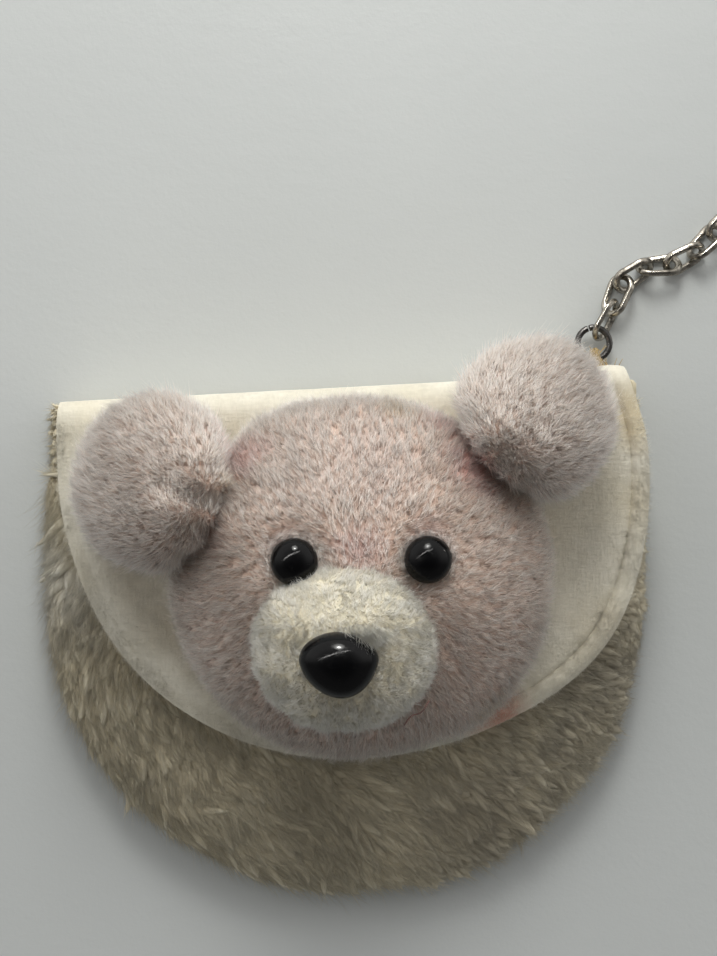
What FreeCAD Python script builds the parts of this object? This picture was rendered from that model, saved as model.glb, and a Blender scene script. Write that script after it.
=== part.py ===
import FreeCAD, Part
import math
import os

import Sketcher

# Plush bear-head coin purse with a keychain. Millimetres, +Z up.
# The purse lies face up: z = 0 is the surface it rests on, the origin is at the middle of its
# width, and +Y points at the fold where the flap hinges and the chain hangs.

os.makedirs("parts", exist_ok=True)
doc = FreeCAD.newDocument("plush_keychain")
sheet = doc.addObject("Spreadsheet::Sheet", "sizes")

SIZES = {
    # pouch, a D outline: a round bottom under straight sides
    "pouch_radius": 46.0,
    "pouch_arc_y": 8.5,
    "fold_y": 38.2,
    "mouth_y": 27.0,
    "back_thick": 2.4,
    "front_thick": 2.6,
    "rim_wide": 4.0,
    "rim_round": 3.4,
    "lining_thick": 0.4,
    "cavity_high": 4.8,
    "binding_wide": 2.0,
    "binding_round": 0.8,
    "lining_play": 0.2,
    "pocket_past_mouth": 5.0,
    "seam_thread": 0.5,
    # flap, a smaller D outline that turns about the fold
    "flap_radius": 42.5,
    "flap_x": 2.0,
    "flap_arc_y": 27.5,
    "flap_gap": 1.8,
    "flap_lining_thick": 0.5,
    "flap_cloth_thick": 1.1,
    "strip_thick": 1.0,
    "strip_wide": 84.0,
    "strip_short": 0.4,
    "stitch_long": 1.9,
    "stitch_thick": 0.3,
    "stitch_pitch": 2.4,
    "stitch_inset": 2.0,
    # press stud, sewn on
    "snap_x": 2.0,
    "snap_y": -8.0,
    "snap_radius": 4.5,
    "snap_base_thick": 0.5,
    "snap_post_radius": 1.5,
    "snap_post_high": 1.0,
    "snap_hole_radius": 1.7,
    "snap_socket_thick": 1.15,
    # head, a flattened dome of plush over stuffing
    "head_x": 2.4,
    "head_y": 11.0,
    "head_wide": 27.2,
    "head_tall": 25.5,
    "head_deep": 13.5,
    "head_up": 4.0,
    "head_lift": 0.45,
    "plush_thick": 1.2,
    "stuffing_gap": 0.2,
    "base_thick": 0.3,
    "base_pad_wide": 22.0,
    "base_pad_tall": 20.0,
    "base_pad_deep": 20.0,
    "trim_wide": 90.0,
    "trim_high": 60.0,
    # muzzle
    "muzzle_x": -0.3,
    "muzzle_y": 2.2,
    "muzzle_wide": 13.2,
    "muzzle_tall": 11.3,
    "muzzle_deep": 9.5,
    "muzzle_up": 13.6,
    # nose, a rounded triangle with a shank and a washer
    "nose_x": -0.7,
    "nose_y": 0.4,
    "nose_half_wide": 5.4,
    "nose_half_tall": 4.2,
    "nose_corner": 2.2,
    "nose_deep": 3.4,
    "nose_round": 1.8,
    "nose_base_up": 22.0,
    # safety eyes
    "eye_left_x": -6.9,
    "eye_left_y": 13.9,
    "eye_right_x": 11.5,
    "eye_right_y": 14.2,
    "eye_radius": 3.4,
    "eye_high": 3.0,
    "eye_base_up": 16.1,
    "shank_radius": 1.1,
    "shank_long": 5.0,
    "washer_radius": 4.0,
    "washer_thick": 1.0,
    "washer_hole_radius": 1.2,
    "washer_from_end": 1.0,
    "fixing_play": 0.1,
    "shank_room_long": 20.0,
    "seat_high": 12.0,
    "eye_seat_play": 0.05,
    "nose_seat_play": 0.9,
    "bed_play": 0.1,
    "filling_bed_play": 0.3,
    # ears, stuffed balls of two panels
    "ear_left_x": -26.2,
    "ear_left_y": 24.8,
    "ear_right_x": 27.0,
    "ear_right_y": 33.9,
    "ear_wide": 11.4,
    "ear_deep": 9.2,
    "ear_up": 9.6,
    "ear_seam_gap": 0.1,
    "ear_trim": 40.0,
    # hang loop, rings and chain
    "loop_x": 38.1,
    "loop_end_y": 43.65,
    "loop_half_open": 1.3,
    "loop_cord_radius": 0.4,
    "ring_high": 2.0,
    "ring_radius": 2.45,
    "ring_wire_radius": 0.53,
    "link_long": 7.2,
    "link_wide": 4.5,
    "link_wire_radius": 0.525,
    "link_pitch": 4.2,
    "split_radius": 11.2,
    "split_wide": 1.4,
    "split_coil_high": 0.8,
    "hook_overlap": 0.45,
    "end_overlap": 0.7,
    "last_link_lift": 0.4,
    "split_seat": 0.1,
    "end_ring_radius": 3.2,
    "split_notch": 0.25,
}
for row, (alias, value) in enumerate(SIZES.items(), start=1):
    sheet.set(f"A{row}", alias)
    sheet.set(f"B{row}", str(value))
    sheet.setAlias(f"B{row}", alias)

# Heights that follow from the layers, written once as formulas.
FORMULAS = {
    "tray_high": "=lining_thick * 2 + cavity_high + front_thick",
    "pouch_top": "=back_thick + tray_high",
    "front_under": "=pouch_top - front_thick",
    "flap_under": "=pouch_top + flap_gap",
    "flap_cloth_under": "=flap_under + flap_lining_thick",
    "flap_top": "=flap_cloth_under + flap_cloth_thick",
    "head_base": "=flap_top + head_lift",
    "head_z": "=flap_top + head_up",
    "muzzle_z": "=flap_top + muzzle_up",
    "nose_base": "=flap_top + nose_base_up",
    "eye_base": "=flap_top + eye_base_up",
    "ear_z": "=flap_top + ear_up",
    "lining_radius": "=pouch_radius - rim_wide",
}
for row, (alias, formula) in enumerate(FORMULAS.items(), start=len(SIZES) + 1):
    sheet.set(f"A{row}", alias)
    sheet.set(f"B{row}", formula)
    sheet.setAlias(f"B{row}", alias)
doc.recompute()

# The chain's links on the table, from the jump ring outwards: heading from +X and roll, in degrees.
LINKS = [
    (62, 60),
    (68, -40),
    (34, 45),
    (6, -45),
    (28, 45),
    (46, -45),
    (48, 45),
    (40, -45),
    (30, 45),
    (22, -45),
]
END_RING_ROLL = 40

nodes = []


def size(alias):
    """The sheet's value, for shapes that are worked out here."""
    return float(sheet.get(alias))


def node(item, label):
    """Names a finished sub-part and puts it on the list of those to write."""
    item.Label = label
    nodes.append(item)
    return item


def bind(item, **formulas):
    """Binds properties to the sheet. Two underscores stand for a dot."""
    for name, formula in formulas.items():
        item.setExpression(name.replace("__", "."), formula)
    return item


def place(item, x="0", y="0", z="0"):
    """Binds an object's position to formulas of the sheet."""
    return bind(item, Placement__Base__x=x, Placement__Base__y=y, Placement__Base__z=z)


def origin_plane(body, role):
    """One of the body's own origin planes."""
    return next(f for f in body.Origin.OriginFeatures if f.Role == role)


def new_sketch(body, name, role="XY_Plane"):
    sketch = body.newObject("Sketcher::SketchObject", name)
    sketch.AttachmentSupport = [(origin_plane(body, role), "")]
    sketch.MapMode = "FlatFace"
    return sketch


def fix(sketch, name, formula, *constraint):
    """Adds a named dimension bound to a formula."""
    index = sketch.addConstraint(Sketcher.Constraint(*constraint))
    sketch.renameConstraint(index, name)
    sketch.setExpression(f"Constraints.{name}", formula)


def d_sketch(body, name, height, radius, arc_x, arc_y, top_y):
    """A D outline: half a circle below, straight sides and a straight top."""
    sketch = new_sketch(body, name)
    sketch.setExpression("AttachmentOffset.Base.z", height)
    x, y, r, top = 1.0, 10.0, 40.0, 35.0
    centre = FreeCAD.Vector(x, y, 0)
    corners = [(x + r, y), (x + r, top), (x - r, top), (x - r, y)]
    points = [FreeCAD.Vector(a, b, 0) for a, b in corners]
    half = Part.ArcOfCircle(Part.Circle(centre, FreeCAD.Vector(0, 0, 1), r), math.pi, 2 * math.pi)
    arc = sketch.addGeometry(half)
    right = sketch.addGeometry(Part.LineSegment(points[0], points[1]))
    upper = sketch.addGeometry(Part.LineSegment(points[1], points[2]))
    left = sketch.addGeometry(Part.LineSegment(points[2], points[3]))
    for first, end, second, start in (
        (arc, 2, right, 1),
        (right, 2, upper, 1),
        (upper, 2, left, 1),
        (left, 2, arc, 1),
    ):
        sketch.addConstraint(Sketcher.Constraint("Coincident", first, end, second, start))
    sketch.addConstraint(Sketcher.Constraint("Vertical", right))
    sketch.addConstraint(Sketcher.Constraint("Vertical", left))
    sketch.addConstraint(Sketcher.Constraint("Horizontal", upper))
    sketch.addConstraint(Sketcher.Constraint("Horizontal", arc, 3, right, 1))
    sketch.addConstraint(Sketcher.Constraint("Horizontal", arc, 3, left, 2))
    fix(sketch, "radius", radius, "Radius", arc, r)
    fix(sketch, "arc_x", arc_x, "DistanceX", -1, 1, arc, 3, x)
    fix(sketch, "arc_y", arc_y, "DistanceY", -1, 1, arc, 3, y)
    fix(sketch, "top_y", top_y, "DistanceY", -1, 1, right, 2, top)
    return sketch


def pad(body, sketch, length):
    feature = body.newObject("PartDesign::Pad", sketch.Name + "_pad")
    feature.Profile = sketch
    return bind(feature, Length=length)


def pocket(body, sketch, length):
    """Cuts upwards from the sketch, and stops if the cut removes nothing."""
    before = body.Shape.Volume
    feature = body.newObject("PartDesign::Pocket", sketch.Name + "_pocket")
    feature.Profile = sketch
    feature.Reversed = True
    bind(feature, Length=length)
    doc.recompute()
    if body.Shape.Volume > before - 0.01:
        raise RuntimeError(f"{sketch.Name} cuts nothing")
    return feature


def level_edges(shape, height):
    """Names of the edges that lie flat at one height."""
    return [
        f"Edge{number}"
        for number, edge in enumerate(shape.Edges, start=1)
        if abs(edge.BoundBox.ZMin - height) < 0.01 and abs(edge.BoundBox.ZMax - height) < 0.01
    ]


def fillet(body, base, edges, radius):
    feature = body.newObject("PartDesign::Fillet", base.Name + "_fillet")
    feature.Base = (base, edges)
    return bind(feature, Radius=radius)


def d_panel(label, height, thick, radius, arc_x, arc_y, top_y):
    """A flat D-shaped panel of cloth or plush."""
    body = doc.addObject("PartDesign::Body", label)
    pad(body, d_sketch(body, label + "_outline", height, radius, arc_x, arc_y, top_y), thick)
    return node(body, label)


def cylinder(name, radius, height, x, y, z):
    item = doc.addObject("Part::Cylinder", name)
    return place(bind(item, Radius=radius, Height=height), x, y, z)


def box(name, wide, long, high, x, y, z):
    item = doc.addObject("Part::Box", name)
    return place(bind(item, Length=wide, Width=long, Height=high), x, y, z)


def ellipsoid(name, wide, tall, deep, x, y, z, turn=0):
    """A whole ellipsoid: half sizes along X, Y and Z, and its centre. Its seam faces +X before the turn."""
    item = doc.addObject("Part::Ellipsoid", name)
    item.Placement = FreeCAD.Placement(FreeCAD.Vector(), FreeCAD.Rotation(FreeCAD.Vector(0, 0, 1), turn))
    item.Angle1 = -90
    item.Angle2 = 90
    return place(bind(item, Radius1=deep, Radius2=wide, Radius3=tall), x, y, z)


def cut(name, base, tool):
    item = doc.addObject("Part::Cut", name)
    item.Base = base
    item.Tool = tool
    return item


def fuse(name, items):
    item = doc.addObject("Part::MultiFuse", name)
    item.Shapes = items
    return item


def common(name, items):
    item = doc.addObject("Part::MultiCommon", name)
    item.Shapes = items
    return item


# ---- pouch -------------------------------------------------------------------------------------

POUCH_OUTLINE = ("sizes.pouch_radius", "0", "sizes.pouch_arc_y")
POCKET_OUTLINE = ("sizes.lining_radius", "0", "sizes.pouch_arc_y")
LINING_OUTLINE = ("sizes.lining_radius - sizes.lining_play", "0", "sizes.pouch_arc_y")


def pouch_panels():
    """Plush back and front. The front is a tray whose rim meets the back all round the pocket."""
    d_panel("back_panel", "0", "sizes.back_thick", *POUCH_OUTLINE, "sizes.fold_y")
    body = doc.addObject("PartDesign::Body", "front_panel")
    outline = d_sketch(body, "front_outline", "sizes.back_thick", *POUCH_OUTLINE, "sizes.mouth_y")
    block = pad(body, outline, "sizes.tray_high")
    doc.recompute()
    top = level_edges(block.Shape, size("pouch_top"))
    rounded = fillet(body, block, top, "sizes.rim_round")
    doc.recompute()
    body.Tip = rounded
    past_mouth = "sizes.mouth_y + sizes.pocket_past_mouth"
    inside = d_sketch(body, "pocket_outline", "sizes.back_thick", *POCKET_OUTLINE, past_mouth)
    pocket(body, inside, "sizes.front_under - sizes.back_thick")
    node(body, "front_panel")


def pouch_linings():
    """Thin cotton linings on the two inner faces of the pocket."""
    below_strip = "sizes.fold_y - sizes.strip_thick - sizes.lining_play"
    d_panel("back_lining", "sizes.back_thick", "sizes.lining_thick", *LINING_OUTLINE, below_strip)
    hung_under = "sizes.front_under - sizes.lining_thick"
    d_panel("front_lining", hung_under, "sizes.lining_thick", *LINING_OUTLINE, "sizes.mouth_y")


def mouth_binding():
    """Folded cotton strip along the free edge of the front panel."""
    body = doc.addObject("PartDesign::Body", "mouth_binding")
    sketch = new_sketch(body, "binding_profile", "YZ_Plane")
    corners = [(27.0, 7.6), (29.0, 7.6), (29.0, 9.0), (27.0, 9.0)]
    points = [FreeCAD.Vector(a, b, 0) for a, b in corners]
    lines = [sketch.addGeometry(Part.LineSegment(points[k], points[(k + 1) % 4])) for k in range(4)]
    for k in range(4):
        sketch.addConstraint(Sketcher.Constraint("Coincident", lines[k], 2, lines[(k + 1) % 4], 1))
    for k in (0, 2):
        sketch.addConstraint(Sketcher.Constraint("Horizontal", lines[k]))
        sketch.addConstraint(Sketcher.Constraint("Vertical", lines[k + 1]))
    fix(sketch, "low_y", "sizes.mouth_y", "DistanceX", -1, 1, lines[0], 1, 27.0)
    fix(sketch, "low_z", "sizes.front_under - sizes.lining_thick", "DistanceY", -1, 1, lines[0], 1, 7.6)
    fix(sketch, "wide", "sizes.binding_wide", "DistanceX", lines[0], 1, lines[0], 2, 2.0)
    fix(sketch, "high", "sizes.front_thick", "DistanceY", lines[1], 1, lines[1], 2, 1.4)
    bar = pad(body, sketch, "sizes.lining_radius * 2 - 4")
    bar.Midplane = True
    doc.recompute()
    outer = [
        f"Edge{number}"
        for number, edge in enumerate(bar.Shape.Edges, start=1)
        if edge.BoundBox.YMin > size("mouth_y") + 1 and edge.BoundBox.XLength > 10
    ]
    fillet(body, bar, outer, "sizes.binding_round")
    node(body, "mouth_binding")


def seam_thread():
    """The thread that closes the two panels, round the pouch's outer edge."""
    offset = size("pouch_radius") + size("seam_thread") / 2 + 0.05
    middle = size("pouch_arc_y")
    top = size("mouth_y") - 1
    height = size("back_thick")
    up_left = FreeCAD.Vector(-offset, top, height)
    low_left = FreeCAD.Vector(-offset, middle, height)
    bottom = FreeCAD.Vector(0, middle - offset, height)
    low_right = FreeCAD.Vector(offset, middle, height)
    up_right = FreeCAD.Vector(offset, top, height)
    path = Part.Wire(
        [
            Part.LineSegment(up_left, low_left).toShape(),
            Part.Arc(low_left, bottom, low_right).toShape(),
            Part.LineSegment(low_right, up_right).toShape(),
        ]
    )
    section = Part.Wire([Part.Circle(up_left, FreeCAD.Vector(0, 1, 0), size("seam_thread") / 2).toShape()])
    item = doc.addObject("Part::Feature", "pouch_seam_thread")
    item.Shape = path.makePipeShell([section], True, False)
    node(item, "pouch_seam_thread")


def hinge_strip():
    """The flap's cloth where it rises from the back panel's top edge to the fold."""
    strip = box(
        "hinge_strip",
        "sizes.strip_wide",
        "sizes.strip_thick",
        "sizes.flap_under - sizes.strip_short - sizes.back_thick",
        "sizes.flap_x - sizes.strip_wide / 2",
        "sizes.fold_y - sizes.strip_thick",
        "sizes.back_thick",
    )
    node(strip, "hinge_strip")


def hang_loop():
    """A cord loop sewn to the back panel's top edge. Its round end lies in an upright plane."""
    open_half = size("loop_half_open")
    x, root_y, end_y, z = size("loop_x"), size("fold_y"), size("loop_end_y"), size("ring_high")
    low_root = FreeCAD.Vector(x, root_y, z - open_half)
    low_end = FreeCAD.Vector(x, end_y, z - open_half)
    tip = FreeCAD.Vector(x, end_y + open_half, z)
    high_end = FreeCAD.Vector(x, end_y, z + open_half)
    high_root = FreeCAD.Vector(x, root_y, z + open_half)
    path = Part.Wire(
        [
            Part.LineSegment(low_root, low_end).toShape(),
            Part.Arc(low_end, tip, high_end).toShape(),
            Part.LineSegment(high_end, high_root).toShape(),
        ]
    )
    section = Part.Wire([Part.Circle(low_root, FreeCAD.Vector(0, 1, 0), size("loop_cord_radius")).toShape()])
    item = doc.addObject("Part::Feature", "hang_loop")
    item.Shape = path.makePipeShell([section], True, False)
    node(item, "hang_loop")


def snap_halves():
    """Sewn press stud: the stud on the front panel and the socket under the flap."""
    spot = ("sizes.snap_x", "sizes.snap_y")
    on_pouch = "sizes.pouch_top"
    on_base = "sizes.pouch_top + sizes.snap_base_thick"
    base = cylinder("stud_base", "sizes.snap_radius", "sizes.snap_base_thick", *spot, on_pouch)
    post = cylinder("stud_post", "sizes.snap_post_radius", "sizes.snap_post_high", *spot, on_base)
    node(fuse("snap_stud", [base, post]), "snap_stud")
    under = "sizes.flap_under - sizes.snap_socket_thick"
    disc = cylinder("socket_disc", "sizes.snap_radius", "sizes.snap_socket_thick", *spot, under)
    hole = cylinder("socket_hole", "sizes.snap_hole_radius", "sizes.snap_socket_thick", *spot, under)
    node(cut("snap_socket", disc, hole), "snap_socket")


# ---- flap --------------------------------------------------------------------------------------


def flap_panels():
    """Cotton outside and lining, sewn together at the edge."""
    outline = ("sizes.flap_x", "sizes.flap_arc_y", "sizes.fold_y")
    d_panel("flap_lining", "sizes.flap_under", "sizes.flap_lining_thick", "sizes.flap_radius", *outline)
    body = doc.addObject("PartDesign::Body", "flap_cloth")
    sketch = d_sketch(body, "flap_cloth_outline", "sizes.flap_cloth_under", "sizes.flap_radius", *outline)
    block = pad(body, sketch, "sizes.flap_cloth_thick")
    doc.recompute()
    top = level_edges(block.Shape, size("flap_top"))
    fillet(body, block, top, "sizes.flap_cloth_thick * 0.6")
    node(body, "flap_cloth")


def stitch_places():
    """Points and headings of the topstitches: down one side, round the arc and up the other."""
    radius = size("flap_radius") - size("stitch_inset")
    middle_x, middle_y, top = size("flap_x"), size("flap_arc_y"), size("fold_y")
    side = top - size("stitch_inset") - middle_y
    along = 2 * side + math.pi * radius
    count = int(along / size("stitch_pitch"))
    places = []
    for k in range(count):
        s = (k + 0.5) * along / count
        if s < side:
            places.append((middle_x - radius, middle_y + side - s, -90.0))
        elif s < side + math.pi * radius:
            turn = math.pi + (s - side) / radius
            x = middle_x + radius * math.cos(turn)
            y = middle_y + radius * math.sin(turn)
            places.append((x, y, math.degrees(turn) + 90.0))
        else:
            places.append((middle_x + radius, middle_y + s - side - math.pi * radius, 90.0))
    return places


def flap_topstitch():
    """One row of separate stitches lying on the flap's cloth."""
    long, thick = size("stitch_long"), size("stitch_thick")
    height = size("flap_top")
    stitches = []
    for x, y, heading in stitch_places():
        stitch = Part.makeBox(long, thick, thick, FreeCAD.Vector(-long / 2, -thick / 2, 0))
        stitch = stitch.makeChamfer(thick * 0.25, stitch.Edges)
        stitch.Placement = FreeCAD.Placement(
            FreeCAD.Vector(x, y, height), FreeCAD.Rotation(FreeCAD.Vector(0, 0, 1), heading)
        )
        stitches.append(stitch)
    item = doc.addObject("Part::Feature", "flap_topstitch")
    item.Shape = Part.makeCompound(stitches)
    node(item, "flap_topstitch")


# ---- head --------------------------------------------------------------------------------------


def head_form(name, inset):
    """The head's dome, smaller all round by a formula."""
    return ellipsoid(
        name,
        f"sizes.head_wide - {inset}",
        f"sizes.head_tall - {inset}",
        f"sizes.head_deep - {inset}",
        "sizes.head_x",
        "sizes.head_y",
        "sizes.head_z",
    )


def muzzle_form(name, inset):
    return ellipsoid(
        name,
        f"sizes.muzzle_wide - {inset}",
        f"sizes.muzzle_tall - {inset}",
        f"sizes.muzzle_deep - {inset}",
        "sizes.muzzle_x",
        "sizes.muzzle_y",
        "sizes.muzzle_z",
    )


TRIM_CORNER = ("sizes.head_x - sizes.trim_wide / 2", "sizes.head_y - sizes.trim_wide / 2")


def slab_above(name, height):
    """A large block whose underside is at a height. It trims the domes flat."""
    return layer(name, "sizes.trim_high", height)


def layer(name, thick, height):
    """A wide flat block under or through the head."""
    return box(name, "sizes.trim_wide", "sizes.trim_wide", thick, *TRIM_CORNER, height)


FIXINGS = {
    "left_eye": ("sizes.eye_left_x", "sizes.eye_left_y", "sizes.eye_base"),
    "right_eye": ("sizes.eye_right_x", "sizes.eye_right_y", "sizes.eye_base"),
    "nose": ("sizes.nose_x", "sizes.nose_y", "sizes.nose_base"),
}


def fixing_rooms(suffix):
    """Room in the plush and stuffing for each eye's and the nose's shank and washer."""
    rooms = []
    for label, (x, y, z) in FIXINGS.items():
        shank_under = f"{z} - sizes.shank_long - 2 * sizes.fixing_play"
        shank_size = ("sizes.washer_hole_radius", "sizes.shank_room_long")
        rooms.append(cylinder(f"{label}_shank_room_{suffix}", *shank_size, x, y, shank_under))
        washer_under = f"{z} - sizes.shank_long + sizes.washer_from_end - sizes.fixing_play"
        wide = "sizes.washer_radius + sizes.fixing_play"
        high = "sizes.washer_thick + 2 * sizes.fixing_play"
        rooms.append(cylinder(f"{label}_washer_room_{suffix}", wide, high, x, y, washer_under))
    return fuse(f"fixing_rooms_{suffix}", rooms)


def face_rooms(suffix):
    """The space over the flat seats of the eyes and the nose."""
    rooms = []
    for label, (x, y, z) in FIXINGS.items():
        radius = "sizes.eye_radius + sizes.eye_seat_play"
        if label == "nose":
            radius = "sizes.nose_half_wide + sizes.nose_seat_play"
        rooms.append(cylinder(f"{label}_seat_{suffix}", radius, "sizes.seat_high", x, y, z))
    return fuse(f"face_rooms_{suffix}", rooms)


def head():
    """Plush dome open at the flap, stuffing inside it and a cloth base on the flap."""
    above_base = slab_above("head_trim", "sizes.head_base")
    outside = common("head_outside", [head_form("head_outer", "0"), above_base])
    shell = cut("head_shell", outside, head_form("head_inner", "sizes.plush_thick"))
    seated = cut("head_seated", shell, face_rooms("head"))
    node(cut("head_plush", seated, fixing_rooms("head")), "head_plush")

    stuffing_under = "sizes.head_base + sizes.base_thick + sizes.stuffing_gap"
    filling = common(
        "head_filling",
        [
            head_form("head_fill_form", "(sizes.plush_thick + sizes.stuffing_gap)"),
            slab_above("filling_trim", stuffing_under),
        ],
    )
    node(cut("head_stuffing", filling, fixing_rooms("filling")), "head_stuffing")

    disc = common(
        "base_disc",
        [
            head_form("base_form", "(sizes.plush_thick + sizes.bed_play)"),
            layer("base_layer", "sizes.base_thick", "sizes.head_base"),
        ],
    )
    pedestal = common(
        "base_pedestal",
        [
            ellipsoid(
                "pedestal_form",
                "sizes.base_pad_wide",
                "sizes.base_pad_tall",
                "sizes.base_pad_deep",
                "sizes.head_x",
                "sizes.head_y",
                "sizes.flap_top",
            ),
            layer("pedestal_layer", "sizes.head_lift", "sizes.flap_top"),
        ],
    )
    node(fuse("head_base_cloth", [disc, pedestal]), "head_base_cloth")


def muzzle():
    """Cream plush dome on the face with its own stuffing."""
    bed = head_form("muzzle_bed", "-sizes.bed_play")
    outside = cut("muzzle_outside", muzzle_form("muzzle_outer", "0"), bed)
    shell = cut("muzzle_shell", outside, muzzle_form("muzzle_inner", "sizes.plush_thick"))
    seated = cut("muzzle_seated", shell, face_rooms("muzzle"))
    node(cut("muzzle_plush", seated, fixing_rooms("muzzle")), "muzzle_plush")
    core = muzzle_form("muzzle_fill_form", "(sizes.plush_thick + sizes.stuffing_gap)")
    filling = cut("muzzle_filling", core, head_form("muzzle_fill_bed", "-sizes.filling_bed_play"))
    node(cut("muzzle_stuffing", filling, fixing_rooms("muzzle_fill")), "muzzle_stuffing")


def nose():
    """Moulded nose: a rounded triangle, wide at the top, with a domed face and a shank."""
    body = doc.addObject("PartDesign::Body", "nose_cap")
    sketch = new_sketch(body, "nose_outline")
    sketch.setExpression("AttachmentOffset.Base.z", "sizes.nose_base")
    half_wide, half_tall = size("nose_half_wide"), size("nose_half_tall")
    x, y = size("nose_x"), size("nose_y")
    corners = [(x + half_wide, y + half_tall), (x - half_wide, y + half_tall), (x, y - half_tall * 1.45)]
    points = [FreeCAD.Vector(a, b, 0) for a, b in corners]
    lines = [sketch.addGeometry(Part.LineSegment(points[k], points[(k + 1) % 3])) for k in range(3)]
    for k in range(3):
        sketch.addConstraint(Sketcher.Constraint("Coincident", lines[k], 2, lines[(k + 1) % 3], 1))
    right, high = corners[0]
    right_formula = "sizes.nose_x + sizes.nose_half_wide * 1.27"
    high_formula = "sizes.nose_y + sizes.nose_half_tall"
    fix(sketch, "right_x", right_formula, "DistanceX", -1, 1, lines[0], 1, right)
    fix(sketch, "right_y", high_formula, "DistanceY", -1, 1, lines[0], 1, high)
    fix(sketch, "wide", "sizes.nose_half_wide * 2.54", "DistanceX", lines[0], 2, lines[0], 1, 2 * half_wide)
    sketch.addConstraint(Sketcher.Constraint("Horizontal", lines[0]))
    low_formula = "sizes.nose_half_tall * 2.7"
    fix(sketch, "low_y", low_formula, "DistanceY", lines[2], 1, lines[2], 2, half_tall * 2.45)
    fix(sketch, "low_x", "sizes.nose_half_wide * 1.27", "DistanceX", lines[2], 1, lines[2], 2, half_wide)
    block = pad(body, sketch, "sizes.nose_deep")
    doc.recompute()
    upright = [
        f"Edge{number}"
        for number, edge in enumerate(block.Shape.Edges, start=1)
        if edge.BoundBox.ZLength > size("nose_deep") - 0.01
    ]
    corner_round = fillet(body, block, upright, "sizes.nose_corner")
    doc.recompute()
    top = level_edges(corner_round.Shape, size("nose_base") + size("nose_deep"))
    fillet(body, corner_round, top, "sizes.nose_round")
    shank = cylinder("nose_shank", "sizes.shank_radius", "sizes.shank_long", *shank_place("nose"))
    node(fuse("nose", [body, shank]), "nose")
    washer("nose")


def shank_place(label):
    x, y, z = FIXINGS[label]
    return x, y, f"{z} - sizes.shank_long"


def washer(label):
    """The locking washer on a shank, inside the plush."""
    x, y, z = FIXINGS[label]
    under = f"{z} - sizes.shank_long + sizes.washer_from_end"
    disc = cylinder(f"{label}_washer_disc", "sizes.washer_radius", "sizes.washer_thick", x, y, under)
    hole = cylinder(f"{label}_washer_hole", "sizes.washer_hole_radius", "sizes.washer_thick", x, y, under)
    node(cut(f"{label}_washer", disc, hole), f"{label}_washer")


def eye(label):
    """Glossy domed eye on a shank."""
    x, y, z = FIXINGS[label]
    ball = ellipsoid(f"{label}_ball", "sizes.eye_radius", "sizes.eye_radius", "sizes.eye_high", x, y, z)
    room = cylinder(f"{label}_half", "sizes.eye_radius + 1", "sizes.eye_high + 1", x, y, z)
    dome = common(f"{label}_dome", [ball, room])
    shank = cylinder(f"{label}_shank", "sizes.shank_radius", "sizes.shank_long", *shank_place(label))
    node(fuse(label, [dome, shank]), label)
    washer(label)


def ear(side, x, y, turn):
    """A stuffed ball: front and back plush panels that meet at a seam, and the stuffing."""

    def form(name, inset):
        half = f"sizes.ear_wide - {inset}"
        return ellipsoid(name, half, half, f"sizes.ear_deep - {inset}", x, y, "sizes.ear_z", turn)

    bed = head_form(f"{side}_ear_bed", "-sizes.bed_play")
    outside = cut(f"{side}_ear_outside", form(f"{side}_ear_outer", "0"), bed)
    shell = cut(f"{side}_ear_shell", outside, form(f"{side}_ear_inner", "sizes.plush_thick"))
    corner = (f"{x} - sizes.ear_trim / 2", f"{y} - sizes.ear_trim / 2")
    block = ("sizes.ear_trim", "sizes.ear_trim", "sizes.ear_trim / 2")
    over_seam = "sizes.ear_z + sizes.ear_seam_gap / 2"
    under_seam = "sizes.ear_z - sizes.ear_seam_gap / 2 - sizes.ear_trim / 2"
    above = box(f"{side}_ear_above", *block, *corner, over_seam)
    below = box(f"{side}_ear_below", *block, *corner, under_seam)
    node(common(f"{side}_ear_front", [shell, above]), f"{side}_ear_front")
    node(common(f"{side}_ear_back", [shell, below]), f"{side}_ear_back")
    core = form(f"{side}_ear_core", "(sizes.plush_thick + sizes.stuffing_gap)")
    wide_bed = head_form(f"{side}_ear_core_bed", "-sizes.filling_bed_play")
    node(cut(f"{side}_ear_stuffing", core, wide_bed), f"{side}_ear_stuffing")


# ---- rings and chain -----------------------------------------------------------------------------


def wire_ring(label, radius, centre, heading, roll):
    """A round ring of round wire. Its plane leans by the roll about the heading."""
    item = doc.addObject("Part::Torus", label)
    bind(item, Radius1=radius, Radius2="sizes.ring_wire_radius")
    item.Placement = FreeCAD.Placement(centre, lean_about(heading, roll))
    return node(item, label)


def lean_about(heading, roll):
    """Turns +X to the heading, after a roll about +X."""
    turn = FreeCAD.Rotation(FreeCAD.Vector(0, 0, 1), heading)
    return turn.multiply(FreeCAD.Rotation(FreeCAD.Vector(1, 0, 0), roll))


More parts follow.
